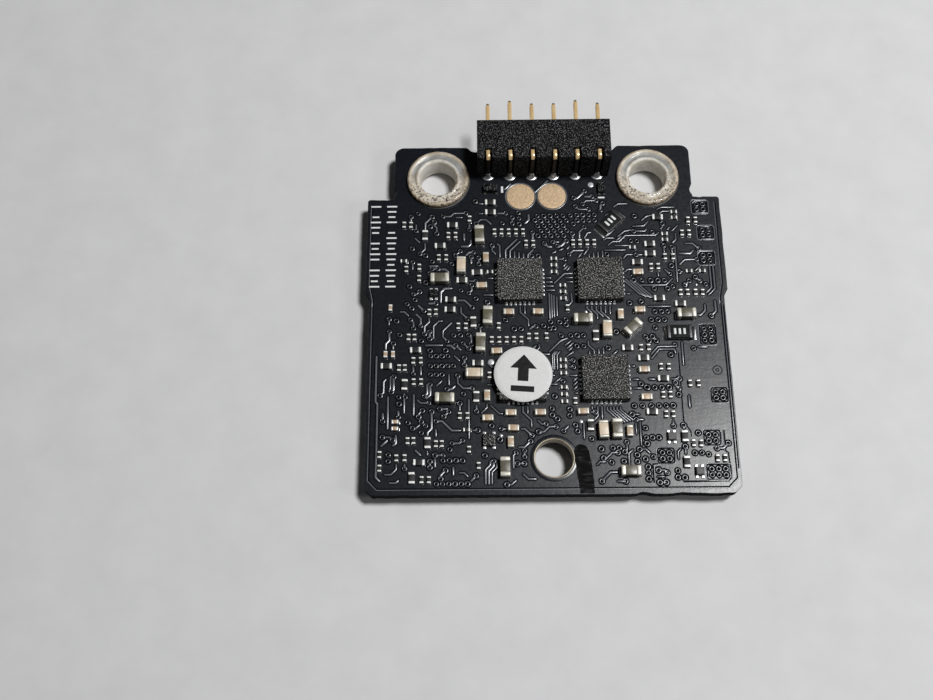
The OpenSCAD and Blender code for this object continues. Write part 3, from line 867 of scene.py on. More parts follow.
def make_controller_chip(corner):
    """One leadless chip: its body, its centre pad and a row of leads on each side."""
    node = "controller_chip_" + corner
    x, y, (width, depth, height), bottom, _ = extent(node)
    body = Shape()
    body.add(rounded_box(width, depth, height, 0.035, 3, 0.02, bottom), place_at(x, y))
    body.piece("controller_chip_body_" + corner, [CHIP], [node], "chip_plastic", 50)
    leads = Shape()
    for centre, size in solids("chip_leads_" + corner):
        out = centre[:2] - np.array([x, y])
        if max(size[:2]) > LEAD_MAX:
            pad = rectangle(*(centre - size / 2)[:2], *(centre + size / 2)[:2])
            leads.add(prism(pad, [(0, 0), (size[2], 0.01)]))
            continue
        turn = math.radians(90 * round(math.atan2(out[1], out[0]) / (math.pi / 2)))
        reach = abs(out[0] * math.cos(turn) + out[1] * math.sin(turn)) - width / 2
        chip_lead(leads, centre, size, turn, reach)
    leads.piece("chip_lead_row_" + corner, [SOLDER], ["chip_leads_" + corner], "solder", 60)


def make_small_chip(node, material, finish, edge, lid=False):
    """A small chip, or an oscillator: a low ceramic base under a metal lid."""
    x, y, (width, depth, height), bottom, _ = extent(node)
    place = place_at(x, y)
    tall = height * (0.7 if lid else 1.0)
    body = Shape()
    body.add(rounded_box(width, depth, tall, edge, 2, 0.015, bottom), place, 0)
    if lid:
        plate = rounded_box(width * 0.82, depth * 0.82, height * 0.32, 0.05, 3, 0.0, height * 0.68)
        body.add(plate, place, 1)
    body.piece(node + "_body", [material, LID], [node], finish, 50)


def make_small_pads():
    """Solder of the small chips; behind the test pads, by the header, it is painted dark as the header's
    painted shadow.
    """
    pads = Shape()
    rear = extent("test_pad_left")[1]
    for (x, y, _), size in solids("small_chip_pads"):
        joint = rounded_box(size[0] * 1.1, size[1] * 1.25, size[2], 0.05, 3)
        # Pads behind the test pads get the dark tin: painted shadow of the header.
        pads.add(joint, place_at(x, y), 1 if y > rear else 0)
    pads.piece("small_chip_solder", [SOLDER, TIN_RING], ["small_chip_pads"], "solder", 60)


# ---- Header ----
PINS = ["header_pin_%d" % i for i in range(1, 7)]
PIN_XS = [float(extent(pin)[0]) for pin in PINS]
PIN_LOW, PIN_HIGH = node_box("header_pin_1")
PIN_W = float(PIN_HIGH[0] - PIN_LOW[0])
PIN_Z = float(PIN_HIGH[2]) - PIN_W / 2
LEG_Y = float(PIN_LOW[1]) + PIN_W / 2
LEG_END = float(PIN_LOW[2])
BLOCK_LOW, BLOCK_HIGH = node_box("header_block")


def notched(cuts):
    """The block's outline from above, cut back at each pin: (width, depth) pairs."""
    x0, y0 = BLOCK_LOW[:2]
    x1, y1 = BLOCK_HIGH[:2]
    outline = [(x1, y0), (x1, y1), (x0, y1), (x0, y0)]
    for x in PIN_XS:
        left = [(x - w / 2, y0 + d) for w, d in cuts]
        step = [(x - cuts[0][0] / 2, y0)]
        for number, (px, py) in enumerate(left):
            step.append((px, py))
            if number + 1 < len(left):
                step.append((left[number + 1][0], py))
        outline += step + [(2 * x - px, py) for px, py in reversed(step)]
    return outline


def make_header_block():
    """The plastic block, notched for each pin: a wide groove, and above it a deeper slot."""
    groove, slot = (0.7, 0.55), (0.55, 1.0)
    height = float(BLOCK_HIGH[2])
    floor_z = PIN_Z - PIN_W / 2
    block = Shape()
    block.add(prism(notched([groove]), [(0, 0.04), (0.04, 0), (floor_z, 0)]))
    upper = [(floor_z, 0), (height - 0.07, 0), (height - 0.02, 0.02), (height, 0.07)]
    block.add(prism(notched([groove, slot]), upper))
    block.piece("header_body", [BLOCK], ["header_block"], "header_plastic", 30)


def pin_shape(tip_y, bend=0.32):
    """One square pin with rounded corners, bent through a right angle."""
    line = [(LEG_Y, LEG_END, 0.5), (LEG_Y, LEG_END + 0.12, 0.95), (LEG_Y, LEG_END + 0.2, 1.0)]
    line += [(LEG_Y, PIN_Z - bend, 1.0)]
    for turn in range(170, 80, -16):
        line.append((*ahead((LEG_Y + bend, PIN_Z - bend), bend, math.radians(turn)), 1.0))
    line += [(LEG_Y + bend + 0.1, PIN_Z, 1.0)]
    tip = ((0.42, 1.0), (0.22, 0.86), (0.08, 0.62), (0.02, 0.4), (0.0, 0.16))
    line += [(tip_y - back, PIN_Z, scale) for back, scale in tip]
    half = PIN_W * 0.41
    section = soft_rectangle(-half, -half, half, half, PIN_W * 0.16, 2)
    points = []
    for i, (y, z, scale) in enumerate(line):
        before = line[max(i - 1, 0)]
        after = line[min(i + 1, len(line) - 1)]
        dy, dz = after[0] - before[0], after[1] - before[1]
        size = math.hypot(dy, dz)
        dy, dz = dy / size, dz / size
        for sx, sn in section:
            points.append((sx * scale, y - dz * sn * scale, z + dy * sn * scale))
    n = len(section)
    faces = grid_faces(len(line), n)
    faces.append(tuple(reversed(range(n))))
    faces.append(tuple((len(line) - 1) * n + k for k in range(n)))
    return points, faces


def make_header_pins():
    """The bent pins: gold above, the legs painted near black as painted shade, darker bare metal at the cut
    tips.
    """
    for number, (pin, x) in enumerate(zip(PINS, PIN_XS)):
        tip = float(node_box(pin)[1][1])
        body = Shape()
        body.add(pin_shape(tip), Matrix.Translation((x, 0, 0)))
        depths, heights = body.points[0][:, 1:].T
        body.slots = []
        for face in body.faces:
            # Faces low on the leg get the painted shade.
            leg = heights[list(face)].min() < PIN_Z - 0.2
            cut = depths[list(face)].mean() > tip - 0.17
            body.slots.append(1 if leg else 2 if cut else 0)
        materials = [GOLD_PIN, PIN_LEG_PAINTED_SHADE, PIN_TIP]
        body.piece("header_contact_%d" % (number + 1), materials, [pin], "pin_gold", 45)


def make_header_solder():
    """A cone of solder round each leg above the board and a rounded one below."""
    solder = Shape()
    cone = [(0.6, 0.0), (0.59, 0.012), (0.53, 0.028), (0.47, 0.055), (0.41, 0.1), (0.36, 0.17)]
    cone += [(0.32, 0.27), (0.29, 0.4), (0.27, 0.53), (0.2, 0.56), (0.1, 0.57)]
    under = [(0.1, -0.36), (0.26, -0.35), (0.36, -0.3), (0.45, -0.18), (0.53, -0.07), (0.57, 0.0)]
    spread = ((0.95, 1.03), (0.95, 1.03), (0.9, 1.02))
    for x in PIN_XS:
        place = Matrix.Translation((x, LEG_Y, 0)) @ Matrix.Rotation(random.uniform(0, 6), 4, "Z")
        scale = [random.uniform(low, high) for low, high in spread]
        solder.add(revolve(cone, 28), place @ Matrix.Diagonal((*scale, 1)))
        solder.add(revolve(under, 28), Matrix.Translation((x, LEG_Y, -BOARD_T)))
    solder.piece("header_solder_cones", [CONE], ["header_solder"], "solder", 70)


# ---- Mounting holes and pads ----
def make_grommet(side):
    """A moulded ring with a wide flange above, a neck in the board and one below."""
    node = "grommet_" + side
    x, y, size, bottom, top = extent(node)
    rim = size[0] / 2
    bore = bore_radius("grommet_bore_" + side)
    neck = bore + 0.45
    under = -BOARD_T - 0.01
    profile = [(bore, bottom + 0.12), (bore + 0.08, bottom + 0.02), (bore + 0.2, bottom)]
    profile += [(rim - 0.45, bottom), (rim - 0.31, bottom + 0.05), (rim - 0.25, bottom + 0.15)]
    profile += [(rim - 0.25, under - 0.11), (rim - 0.33, under), (neck, under), (neck, 0.06)]
    profile += [(rim - 0.08, 0.06), (rim - 0.01, 0.1), (rim, 0.18)]
    upper = ((0.01, 0.13), (0.08, 0.04), (0.18, 0.0), (0.3, 0.01), (0.4, 0.06))
    groove = ((0.55, 0.1), (0.7, 0.11), (0.82, 0.09), (0.92, 0.03))
    profile += [(rim - inward, top - down) for inward, down in upper + groove]
    profile += [(bore + 0.12, top - 0.04), (bore + 0.04, top - 0.1), (bore, top - 0.2)]
    points, faces = revolve(profile, 96, closed=True)
    points = np.array(points)
    for p in points:
        if p[2] > 0.12:
            p[2] -= 0.02 * (1 + wave(p[0] * 1.1 + x, p[1] * 1.1, 1.0))
            swell = abs(0.012 * wave(p[0] * 3 + x, p[1] * 3, p[2]))
            p[:2] *= 1 - swell if math.hypot(p[0], p[1]) > 2.5 else 1 + swell
    ring = Shape()
    ring.add((points, faces), place_at(x, y))
    ring.piece("rubber_" + node, [RUBBER], [node], "grommet_rubber", 60)


def make_ring_pad(side, hole=2.15):
    """The thin plated ring round a mounting hole, under the grommet."""
    node = "pad_ring_" + side
    x, y, size, _, top = extent(node)
    outer = size[0] / 2
    profile = [(hole, 0), (outer, 0), (outer - 0.01, top * 0.7), (outer - 0.04, top), (hole, top)]
    ring = Shape()
    ring.add(revolve(profile, 96, closed=True), place_at(x, y))
    ring.piece("tinned_" + node, [TIN_RING], [node], "tin_pad", 40)


def make_front_hole():
    """The plated front hole, with a flat halo of mask around its rim."""
    node = "front_hole_plating"
    x, y, size, _, top = extent(node)
    outer = size[0] / 2
    inner = bore_radius("front_hole")
    profile = [(inner, -BOARD_T + 0.03), (inner + 0.03, -BOARD_T), (outer, -BOARD_T)]
    profile += [(outer, top - 0.01), (outer - 0.02, top), (inner + 0.05, top)]
    profile += [(inner + 0.015, top - 0.015), (inner, top - 0.05)]
    halo = ((0.005, 0.0), (0.3, 0.0), (0.29, 0.006), (0.02, 0.01), (0.005, 0.01))
    ring = Shape()
    ring.add(revolve(profile, 80, closed=True), place_at(x, y))
    ring.add(revolve([(outer + out, z) for out, z in halo], 80, closed=True), place_at(x, y), 1)
    ring.piece("front_hole_rim", [PLATING, MASK], [node], "plating", 40)


def bore_radius(name):
    """Radius of a bore mount of the record, in millimetres."""
    return {m["name"]: m["dims"].get("r_mm") for m in frame["record"]["mounts"]}[name]


def make_test_pads():
    """Round gold pads, each inside a low lip of mask."""
    lip = ((0.03, 0.0), (0.14, 0.0), (0.12, 0.018), (0.06, 0.022), (0.03, 0.01))
    for side in ("left", "right"):
        node = "test_pad_" + side
        x, y, size, _, top = extent(node)
        r = size[0] / 2
        disc = [(r, 0), (r, top * 0.5), (r - 0.02, top * 0.9), (r - 0.06, top), (r * 0.5, top - 0.004)]
        pad = Shape()
        pad.add(revolve(disc, 72), place_at(x, y))
        pad.add(revolve([(r + out, z) for out, z in lip], 72, closed=True), place_at(x, y), 1)
        pad.piece("gold_" + node, [GOLD_PAD, TRACK_AND_PAINTED_HIGHLIGHT], [node], "gold_pad", 40)


# ---- Label ----
def make_label():
    """The round paper label, with a plain arrow over a bar."""
    x, y, size, bottom, top = extent("round_label")
    r = size[0] / 2
    profile = [(r * 0.4, bottom), (r * 0.8, bottom - 0.005), (r - 0.01, bottom - 0.04)]
    profile += [(r, bottom - 0.02), (r - 0.005, top - 0.05), (r - 0.03, top - 0.03)]
    profile += [(r * 0.85, top - 0.008), (r * 0.4, top - 0.004)]
    paper = Shape()
    paper.add(revolve(profile, 96), place_at(x, y), 0)
    turn = place_at(x, y, 0, math.radians(-4))
    arrow = [(0, 1.75), (-1.15, 0.5), (-0.46, 0.5), (-0.46, -0.65), (0.46, -0.65), (0.46, 0.5), (1.15, 0.5)]
    bar = rectangle(-1.0, -1.6, 1.0, -1.08)
    for shape in (arrow, bar):
        paper.add(prism(shape, [(top - 0.03, 0), (top - 0.001, 0), (top, 0.01)]), turn, 1)
    paper.piece("paper_label", [PAPER, PRINT], ["round_label"], "label_paper", 40)


# ---- Copper under the mask: tracks, vias and planes on the upper face ----
def row(x0, y, count, pitch):
    return [(x0 + i * pitch, y) for i in range(count)]


def via_places():
    """Plated holes between the layers: fields, rows and single ones."""
    places = []
    for k in range(5):
        places += row(-0.58 if k % 2 == 0 else -0.29, 23.75 + 0.5 * k, 5, 0.58)
    for y in (25.25, 25.8):
        places += row(3.0, y, 4, 0.53)
    rows = (
        (7.65, (7.15, 7.85, 8.6, 9.25, 9.85, 10.45)), (4.85, (8.0, 8.52, 9.05, 9.64, 10.5)),
        (9.27, (8.38, 8.99, 9.6, 10.23, 11.38)), (23.1, (8.3, 8.9, 9.46, 10.0)),
        (19.25, (9.3, 9.93, 10.5)), (17.9, (9.44, 9.96)), (16.27, (9.46, 10.05, 10.58)),
        (15.5, (9.1, 9.7, 10.23)), (13.92, (8.5, 9.1)), (13.54, (8.79, 9.4)),
        (0.78, (5.32, 5.91, 6.53)), (8.35, (-3.2, -2.7, 3.2, 3.75)), (14.75, (-2.9, -2.3, 0.2)),
        (17.1, (-1.9, -1.35, 2.7)), (21.75, (-1.2, -0.6, 0.1)), (12.3, (-10.2, -9.7, -9.2, -8.7)),
        (11.4, (-10.2, -9.7, -9.2, -8.7, -8.2)), (10.6, (-10.2, -9.7, -9.2)), (14.2, (-7.6, -8.2)),
    )
    for y, xs in rows:
        places += [(x, y) for x in xs]
    places += [(8.0, 2.33), (8.0, 1.83), (8.0, 1.3)]
    places += row(-9.65, 1.0, 6, 0.52) + row(-9.1, 3.0, 4, 0.55) + row(-12.9, 8.6, 2, 0.55)
    singles = (
        (11.96, 3.5), (12.55, 3.5), (13.1, 3.36), (10.98, 1.4), (11.5, 0.8), (7.97, 5.69),
        (8.03, 4.33), (7.82, 3.0), (7.15, 2.8), (7.15, 3.36), (4.18, 3.9), (5.68, 3.98),
        (5.15, 3.98), (3.41, 4.78), (2.1, 5.98), (0.18, 7.45), (1.68, 7.39), (1.65, 6.84),
        (0.18, 6.9), (0.6, 6.54), (1.18, 9.9), (0.56, 14.8), (1.18, 14.1), (2.0, 14.1),
        (2.56, 14.1), (3.1, 14.1), (5.97, 14.4), (6.15, 13.4), (5.2, 12.9), (6.94, 16.2),
        (7.85, 9.6), (8.3, 9.3), (11.0, 8.62), (11.32, 10.36), (11.38, 9.8), (9.94, 11.68),
        (10.58, 11.68), (10.58, 12.24), (11.0, 13.15), (11.2, 18.65), (7.3, 17.1), (7.8, 19.3),
        (0.3, 15.4), (1.65, 15.6), (1.65, 15.1), (2.5, 13.1), (3.1, 13.1), (11.8, 10.9),
        (-13.1, 18.3), (-12.3, 17.2), (-11.6, 17.6), (-12.1, 18.9), (-13.2, 15.6), (-12.9, 14.3),
        (-10.7, 21.9), (-10.1, 21.3), (-11.9, 22.6), (-13.2, 23.1), (-12.9, 26.4), (-11.4, 26.1),
        (-9.7, 26.2), (-8.6, 26.3), (-7.3, 26.8), (-6.2, 27.3), (-1.6, 26.8), (-2.3, 26.1),
    )
    return places + list(singles)


def cluster_places():
    """Small dark squares of copper with vias in them, along the right edge."""
    squares = ((13.9, 26.25, 2, 2), (14.23, 23.65, 2, 2), (14.1, 21.15, 2, 2), (14.15, 8.3, 2, 2))
    squares += ((13.22, 4.54, 2, 2), (13.62, 13.55, 2, 3), (13.25, 1.6, 3, 2), (9.25, 3.02, 2, 2))
    boxes = []
    for x, y, nx, ny in squares:
        boxes.append([(x + 0.58 * i, y + 0.52 * j) for j in range(ny) for i in range(nx)])
    return boxes


# A via's pit, ring and gap are radii. VIA_ROOM is kept free round it, and VIA_PITCH
# is the least distance to the next one. GAP_W is the gap on each side of a track.
VIA_PIT, VIA_RIM, VIA_GAP, VIA_H = 0.13, 0.24, 0.335, 0.025
VIA_ROOM, VIA_PITCH = 0.24, 0.42
TRACK_W, TRACK_H, GAP_W = 0.14, 0.03, 0.095


def via_shape():
    """A plated hole under the mask: a raised ring around an open pit."""
    profile = [(VIA_RIM, 0.0), (VIA_RIM - 0.03, VIA_H * 0.6), (VIA_RIM - 0.055, VIA_H)]
    profile += [(VIA_PIT + 0.02, VIA_H), (VIA_PIT + 0.005, VIA_H * 0.6), (VIA_PIT, VIA_H * 0.2)]
    return revolve(profile, 20)


def via_pit():
    """The centre of a plated hole: a flat disc painted near black, painted shade for the hole's depth."""
    return revolve([(VIA_PIT * 1.08, 0.02), (VIA_PIT * 1.04, 0.0275), (VIA_PIT * 0.3, 0.0275)], 14)


def via_gap(height=0.005):
    """The gap that parts a plated hole from the copper around it."""
    return revolve([(VIA_GAP, 0.0), (VIA_GAP - 0.008, height), (VIA_GAP * 0.5, height)], 20)


DIAGONALS = (
    ((0.1, 12.6), (1.1, 13.6), (1.7, 13.85)), ((1.5, 13.2), (2.0, 13.6)), ((1.65, 12.9), (2.2, 13.4)),
    ((1.8, 12.7), (2.1, 13.0)), ((1.6, 12.15), (2.2, 12.6)), ((0.5, 9.8), (1.0, 10.2)),
    ((2.1, 9.9), (2.4, 10.2)), ((2.1, 9.55), (2.4, 9.85)), ((2.1, 9.15), (2.4, 9.45)),
    ((1.6, 20.7), (1.85, 20.95)), ((1.65, 20.4), (2.0, 20.75)), ((1.9, 20.3), (2.2, 20.65)),
    ((0.7, 22.0), (1.0, 22.2)), ((1.3, 22.25), (1.65, 22.45)), ((2.0, 22.4), (2.2, 22.65)),
    ((3.0, 21.6), (3.3, 22.0)), ((3.5, 21.85), (3.9, 22.4)), ((6.5, 23.25), (6.9, 23.6)),
    ((5.6, 12.3), (6.0, 12.65)), ((11.1, 24.25), (11.35, 24.5)), ((11.5, 24.1), (12.05, 24.65)),
    ((13.3, 20.15), (13.8, 20.6)), ((8.85, 25.2), (9.3, 25.6), (9.7, 25.7)),
)
ROUTES = (
    ((2.2, 18.1), (2.25, 17.3), (2.0, 17.0), (1.7, 16.87)), ((4.4, 7.6), (4.4, 6.5)),
    ((4.05, 7.6), (4.05, 6.8), (3.6, 6.3)), ((2.8, 6.2), (2.8, 4.8)), ((7.2, 6.1), (7.2, 5.2)),
    ((7.55, 6.2), (7.55, 4.2)), ((6.45, 2.5), (6.45, 3.5), (6.8, 3.8)),
    ((3.6, 23.45), (3.9, 24.0), (4.2, 24.05)), ((5.5, 23.6), (6.0, 24.0), (6.3, 24.3)),
    ((5.3, 23.25), (5.6, 23.45), (6.2, 23.45)), ((6.6, 23.6), (7.2, 24.1), (7.8, 24.25)),
    ((5.7, 22.75), (6.1, 23.1), (6.7, 23.1), (7.3, 23.7), (10.0, 23.7), (10.3, 23.95)),
    ((8.0, 24.6), (9.0, 24.65), (9.4, 25.05)), ((7.0, 21.45), (7.3, 21.8), (7.8, 21.8)),
    ((7.05, 20.1), (7.3, 20.35), (7.7, 20.35)), ((8.3, 18.8), (10.6, 18.8), (11.2, 19.4)),
    ((10.3, 26.3), (10.7, 26.5), (11.85, 26.5)), ((10.5, 25.85), (10.75, 26.1), (11.4, 26.1)),
    ((5.6, 25.75), (6.5, 26.25), (7.1, 25.6)), ((6.4, 26.6), (6.8, 26.9), (7.6, 26.9)),
    ((13.55, 26.9), (13.8, 27.13), (14.85, 27.13)), ((13.75, 25.9), (14.85, 25.9)),
    ((14.1, 24.5), (14.9, 24.5)), ((14.1, 23.25), (15.1, 23.25)),
    ((13.6, 21.75), (13.85, 22.05), (14.95, 22.05)), ((14.6, 20.8), (14.6, 18.5), (14.1, 18.0)),
    ((14.9, 20.8), (14.9, 18.4), (14.3, 17.8)), ((8.9, 12.3), (9.5, 13.0), (11.0, 13.0)),
    ((8.9, 11.9), (9.6, 12.75), (10.9, 12.75), (11.0, 12.4)), ((11.65, 22.5), (11.65, 19.1)),
    ((11.6, 13.4), (11.6, 11.3)), ((6.3, 22.7), (7.5, 22.7)), ((5.4, 22.25), (7.2, 22.25)),
    ((8.9, 16.75), (10.9, 16.75)),
)
WIDE_ROUTES = (
    ((-3.5, 28.5), (-2.95, 29.05)), ((-0.9, 28.0), (0.45, 29.35)),
    ((-14.87, 12.3), (-14.87, 8.2), (-14.7, 8.0)),
    ((-14.7, 8.0), (-14.7, 1.6), (-14.4, 1.3)), ((-13.8, 5.8), (-13.8, 8.6)), ((-12.42, 7.2), (-12.42, 8.9)),
    ((-6.9, 4.9), (-6.9, 8.3)), ((-8.6, 9.7), (-8.6, 10.6)), ((-10.6, 13.3), (-9.2, 13.3)),
    ((-11.6, 7.0), (-11.6, 8.8)), ((-3.0, 8.2), (-2.0, 8.2)), ((11.85, 7.5), (11.85, 8.5)),
)


def track_paths():
    """Main tracks that the photograph shows: (width, points), in the order laid."""
    paths = []
    for x in (0.25, 0.45, 0.65, 0.9):
        paths.append((TRACK_W, [(x, 15.6 + x * 0.4), (x, 18.2 - x * 0.5)]))
    for x in (0.35, 0.5, 0.75):
        paths.append((TRACK_W, [(x, 11.0), (x, 12.3), (x + 0.25, 12.6)]))
    paths += [(TRACK_W, path) for path in DIAGONALS + ROUTES]
    paths += [(0.17, path) for path in WIDE_ROUTES]
    for i in range(5):
        x = 4.85 + 0.28 * i
        paths.append((TRACK_W, [(x, 7.55), (x, 7.3), (x + 1.2 - 0.05 * i, 6.15 + 0.06 * i)]))
    for i in range(4):
        x, drop = 6.7 + 0.38 * i, 0.1 * i
        paths.append((TRACK_W, [(x, 19.5 - drop), (x + 1.5, 18.0 - drop), (x + 2.1, 17.7 - drop)]))
    return paths


def plane_lines():
    """Edges of the copper planes, which show as thin raised lines."""
    half = HALF_W - 0.75
    front = half - 0.75
    inner = [(-half, 17.0), (-half, 1.35), (-front, 0.6), (front, 0.6), (half, 1.35), (half, 17.0)]
    outer = [(half + 0.2, 16.8), (half + 0.2, 2.2)]
    rear = [(HALF_W - 0.45, 27.0), (HALF_W - 0.45, 19.0), (half, 17.6), (half, 17.0)]
    left = [(-x, y) for x, y in rear]
    area = [(11.23, 12.4), (11.23, 6.24), (11.76, 5.36), (11.76, 4.9)]
    corner = [(14.55, 5.42), (14.55, 3.66), (14.76, 3.48), (14.87, 1.4), (14.6, 1.1), (10.85, 1.04)]
    box = [(8.4, 1.0), (8.4, 2.55), (9.0, 2.6)]
    return [inner, outer, rear, left, area, corner, box]


def steps_between(a, b, step):
    """Points from a to b that are about step apart, with both ends."""
    count = max(2, int(math.dist(a, b) / step))
    return [(a[0] + (b[0] - a[0]) * k / count, a[1] + (b[1] - a[1]) * k / count) for k in range(count + 1)]


class Router:
    """Keeps a grid of what is taken on the board and lays short tracks in what is free."""

    def __init__(self, cell=0.1):
        self.cell = cell
        self.width = int(2 * HALF_W / cell) + 2
        self.depth = int(BOARD_D / cell) + 2
        self.taken = np.zeros((self.width, self.depth), bool)

    def index(self, x, y):
        return int((x + HALF_W) / self.cell), int(y / self.cell)

    def block(self, x0, y0, x1, y1):
        i0, j0 = self.index(x0, y0)
        i1, j1 = self.index(x1, y1)
        self.taken[max(i0, 0):max(i1 + 1, 0), max(j0, 0):max(j1 + 1, 0)] = True

    def block_disc(self, x, y, r):
        for i in range(int(2 * r / self.cell) + 2):
            across = -r + i * self.cell
            reach = math.sqrt(max(r * r - across * across, 0.0))
            self.block(x + across, y - reach, x + across, y + reach)

    def block_path(self, path, margin):
        for a, b in zip(path, path[1:]):
            for x, y in steps_between(a, b, self.cell):
                self.block(x - margin, y - margin, x + margin, y + margin)

    def free(self, x, y, margin):
        i0, j0 = self.index(x - margin, y - margin)
        i1, j1 = self.index(x + margin, y + margin)
        if i0 < 0 or j0 < 0 or i1 >= self.width or j1 >= self.depth:
            return False
        return not self.taken[i0:i1 + 1, j0:j1 + 1].any()

    def clear(self, a, b, margin):
        return all(self.free(x, y, margin) for x, y in steps_between(a, b, self.cell))

    def lay(self, start, angle, margin=0.1):
        """One short track from start: straight runs with a 45 degree turn after each."""
        path = [start]
        for length in (random.uniform(0.25, 0.7), random.uniform(0.3, 1.2), random.uniform(0.3, 1.6)):
            end = ahead(path[-1], length, angle)
            if not self.clear(ahead(path[-1], 0.12, angle), end, margin):
                break
            path.append(end)
            angle += math.radians(random.choice((-45, 45)))
        return path if len(path) > 1 else None


def beside(path, gap):
    """The same path moved sideways, with its corners kept parallel."""
    moved = []
    last = len(path) - 1
    for i, point in enumerate(path):
        a = np.subtract(path[max(i, 1)], path[max(i, 1) - 1])
        b = np.subtract(path[min(i + 1, last)], path[min(i, last - 1)])
        a = a / np.linalg.norm(a)
        b = b / np.linalg.norm(b)
        side = np.array([-a[1] - b[1], a[0] + b[0]])
        side = side / max(np.dot(side, side) / 2, 0.5)
        moved.append(tuple(np.array(point) + gap * side))
    return moved


def block_parts(router, room=0.12, edge=0.9):
    """Marks as taken all that stands on the board, and the areas kept clear."""
    for node in frame["nodes"]:
        low, high = node_box(node)
        if node == "pcb" or low[2] < -0.5 or high[2] < 0.02:
            continue
        for solid in islands(node):
            if solid[:, 2].min() < 0.2:
                router.block(*(solid[:, :2].min(0) - room), *(solid[:, :2].max(0) + room))
    for node, radius in (("grommet_left", 3.2), ("grommet_right", 3.2), ("front_hole_plating", 2.2)):
        router.block_disc(*extent(node)[:2], radius)
    kept_clear = (
        (-6.6, 28.9, 6.6, BOARD_D), (1.8, 0.0, 3.5, 4.5), (-HALF_W, 17.6, -12.3, 27.5),
        (-HALF_W, 0, -HALF_W + edge, BOARD_D), (HALF_W - edge, 0, HALF_W, BOARD_D),
        (-HALF_W, 0, HALF_W, 0.75), (-HALF_W, 27.0, -11.5, BOARD_D),
        (11.5, 27.3, HALF_W, BOARD_D), (11.4, 5.6, HALF_W, 12.6),
    )
    for area in kept_clear:
        router.block(*area)


def stub_starts():
    """Where short tracks leave the parts: (place, heading), in a fixed order."""
    starts = []
    for kind in ("tiny_resistor", "resistor", "small_capacitor", "grey_capacitor", "tiny_capacitor"):
        for part in parts_of(kind):
            reach = part.length / 2 + part.foot + 0.15
            for angle in (part.turn, part.turn + math.pi):
                starts.append((ahead((part.x, part.y), reach, angle), angle))
    return starts


def lead_rows():
    """For each side of each controller chip: its leads' outer ends and heading."""
    rows = {}
    for corner in CORNERS:
        x, y = extent("controller_chip_" + corner)[:2]
        for (cx, cy, _), size in solids("chip_leads_" + corner):
            if max(size[:2]) > LEAD_MAX:
                continue
            quarter = round(math.atan2(cy - y, cx - x) / (math.pi / 2)) % 4
            heading = math.pi / 2 * quarter
            end = ahead((cx, cy), max(size[:2]) / 2 + 0.18, heading)
            rows.setdefault((corner, quarter), []).append((end, heading))
    return rows


def lead_paths(router, margin=0.04):
    """Parallel tracks that fan out from the leads at 45 degrees."""
    paths = []
    for ends in lead_rows().values():
        way = random.choice((-1, 1))
        for i, (start, heading) in enumerate(ends[::way]):
            path = [start]
            legs = ((0.2 + 0.1 * i, 0.0), (0.5 + 0.16 * i, way * math.pi / 4), (0.3 + 0.1 * i, 0.0))
            for length, bend in legs:
                end = ahead(path[-1], length, heading + bend)
                if not router.clear(ahead(path[-1], 0.14, heading + bend), end, margin):
                    break
                path.append(end)
            if len(path) > 1:
                paths.append(path)
                router.block_path(path, margin)
    return paths


def fill_paths(router, tries, margin=0.1):
    """Short tracks and bundles of parallel ones, laid where the board is free."""
    paths = []
    for _ in range(tries):
        start = (random.uniform(-14.6, 14.4), random.uniform(1.0, 28.0))
        heading = math.radians(45 * random.randrange(8))
        path = router.lay(start, heading) if router.free(*start, 0.16) else None
        runs = [math.dist(a, b) for a, b in zip(path, path[1:])] if path else [0]
        if sum(runs) < 0.5:
            continue
        bundle = [path]
        for k in range(1, random.choice((1, 1, 2, 3, 4)) if max(runs) > 0.8 else 1):
            copy = beside(path, 0.27 * k)
            if not all(router.clear(a, b, margin) for a, b in zip(copy, copy[1:])):
                break
            bundle.append(copy)
        for each in bundle:
            paths.append(each)
            router.block_path(each, margin)
    return paths


def spare_vias(router, tries):
    """Short rows of plated holes in the places that are still free."""
    found = []
    for _ in range(tries):
        x, y = random.uniform(-14.4, 14.2), random.uniform(1.2, 27.5)
        dx, dy = random.choice(((0.56, 0.0), (0.0, 0.56), (0.4, 0.4), (0.4, -0.4)))
        for k in range(random.choice((1, 2, 3, 4))):
            place = (x + k * dx, y + k * dy)
            if not router.free(*place, 0.2):
                break
            found.append(place)
            router.block_disc(*place, 0.26)
    return found


class Copper:
    """The tracks, vias and plane edges of one face, with the gaps beside them."""

    def __init__(self):
        self.tracks = Shape()
        self.gaps = Shape()
        self.vias = Shape()
        self.places = []

    def track(self, path, width):
        self.gaps.add(strip(path, width + 2 * GAP_W, random.uniform(0.003, 0.0055)))
        self.tracks.add(ridge(path, width, TRACK_H))

    def plane_edge(self, path):
        self.gaps.add(strip(path, 0.13, 0.004))
        self.tracks.add(ridge(beside(path, -0.09), 0.08, 0.014))

    def add_vias(self):
        """The vias at all places that were marked while the tracks were laid."""
        ring, pit, gap = via_shape(), via_pit(), via_gap()
        for x, y in self.places:
            size = random.uniform(0.9, 1.08)
            place = Matrix.Translation((x, y, 0)) @ Matrix.Diagonal((size, size, 1, 1))
            self.vias.add(ring, place)
            self.vias.add(pit, place, 1)
            self.vias.add(gap, place @ Matrix.Diagonal((1, 1, random.uniform(0.7, 1.1), 1)), 2)

    def add_target(self, x, y):
        """Two thin rings, one inside the other, cut in the copper."""
        for r in (0.43, 0.17):
            groove = [(r, 0), (r - 0.008, 0.004), (r - 0.072, 0.004), (r - 0.08, 0)]
            self.gaps.add(revolve(groove, 32, True), place_at(x, y))


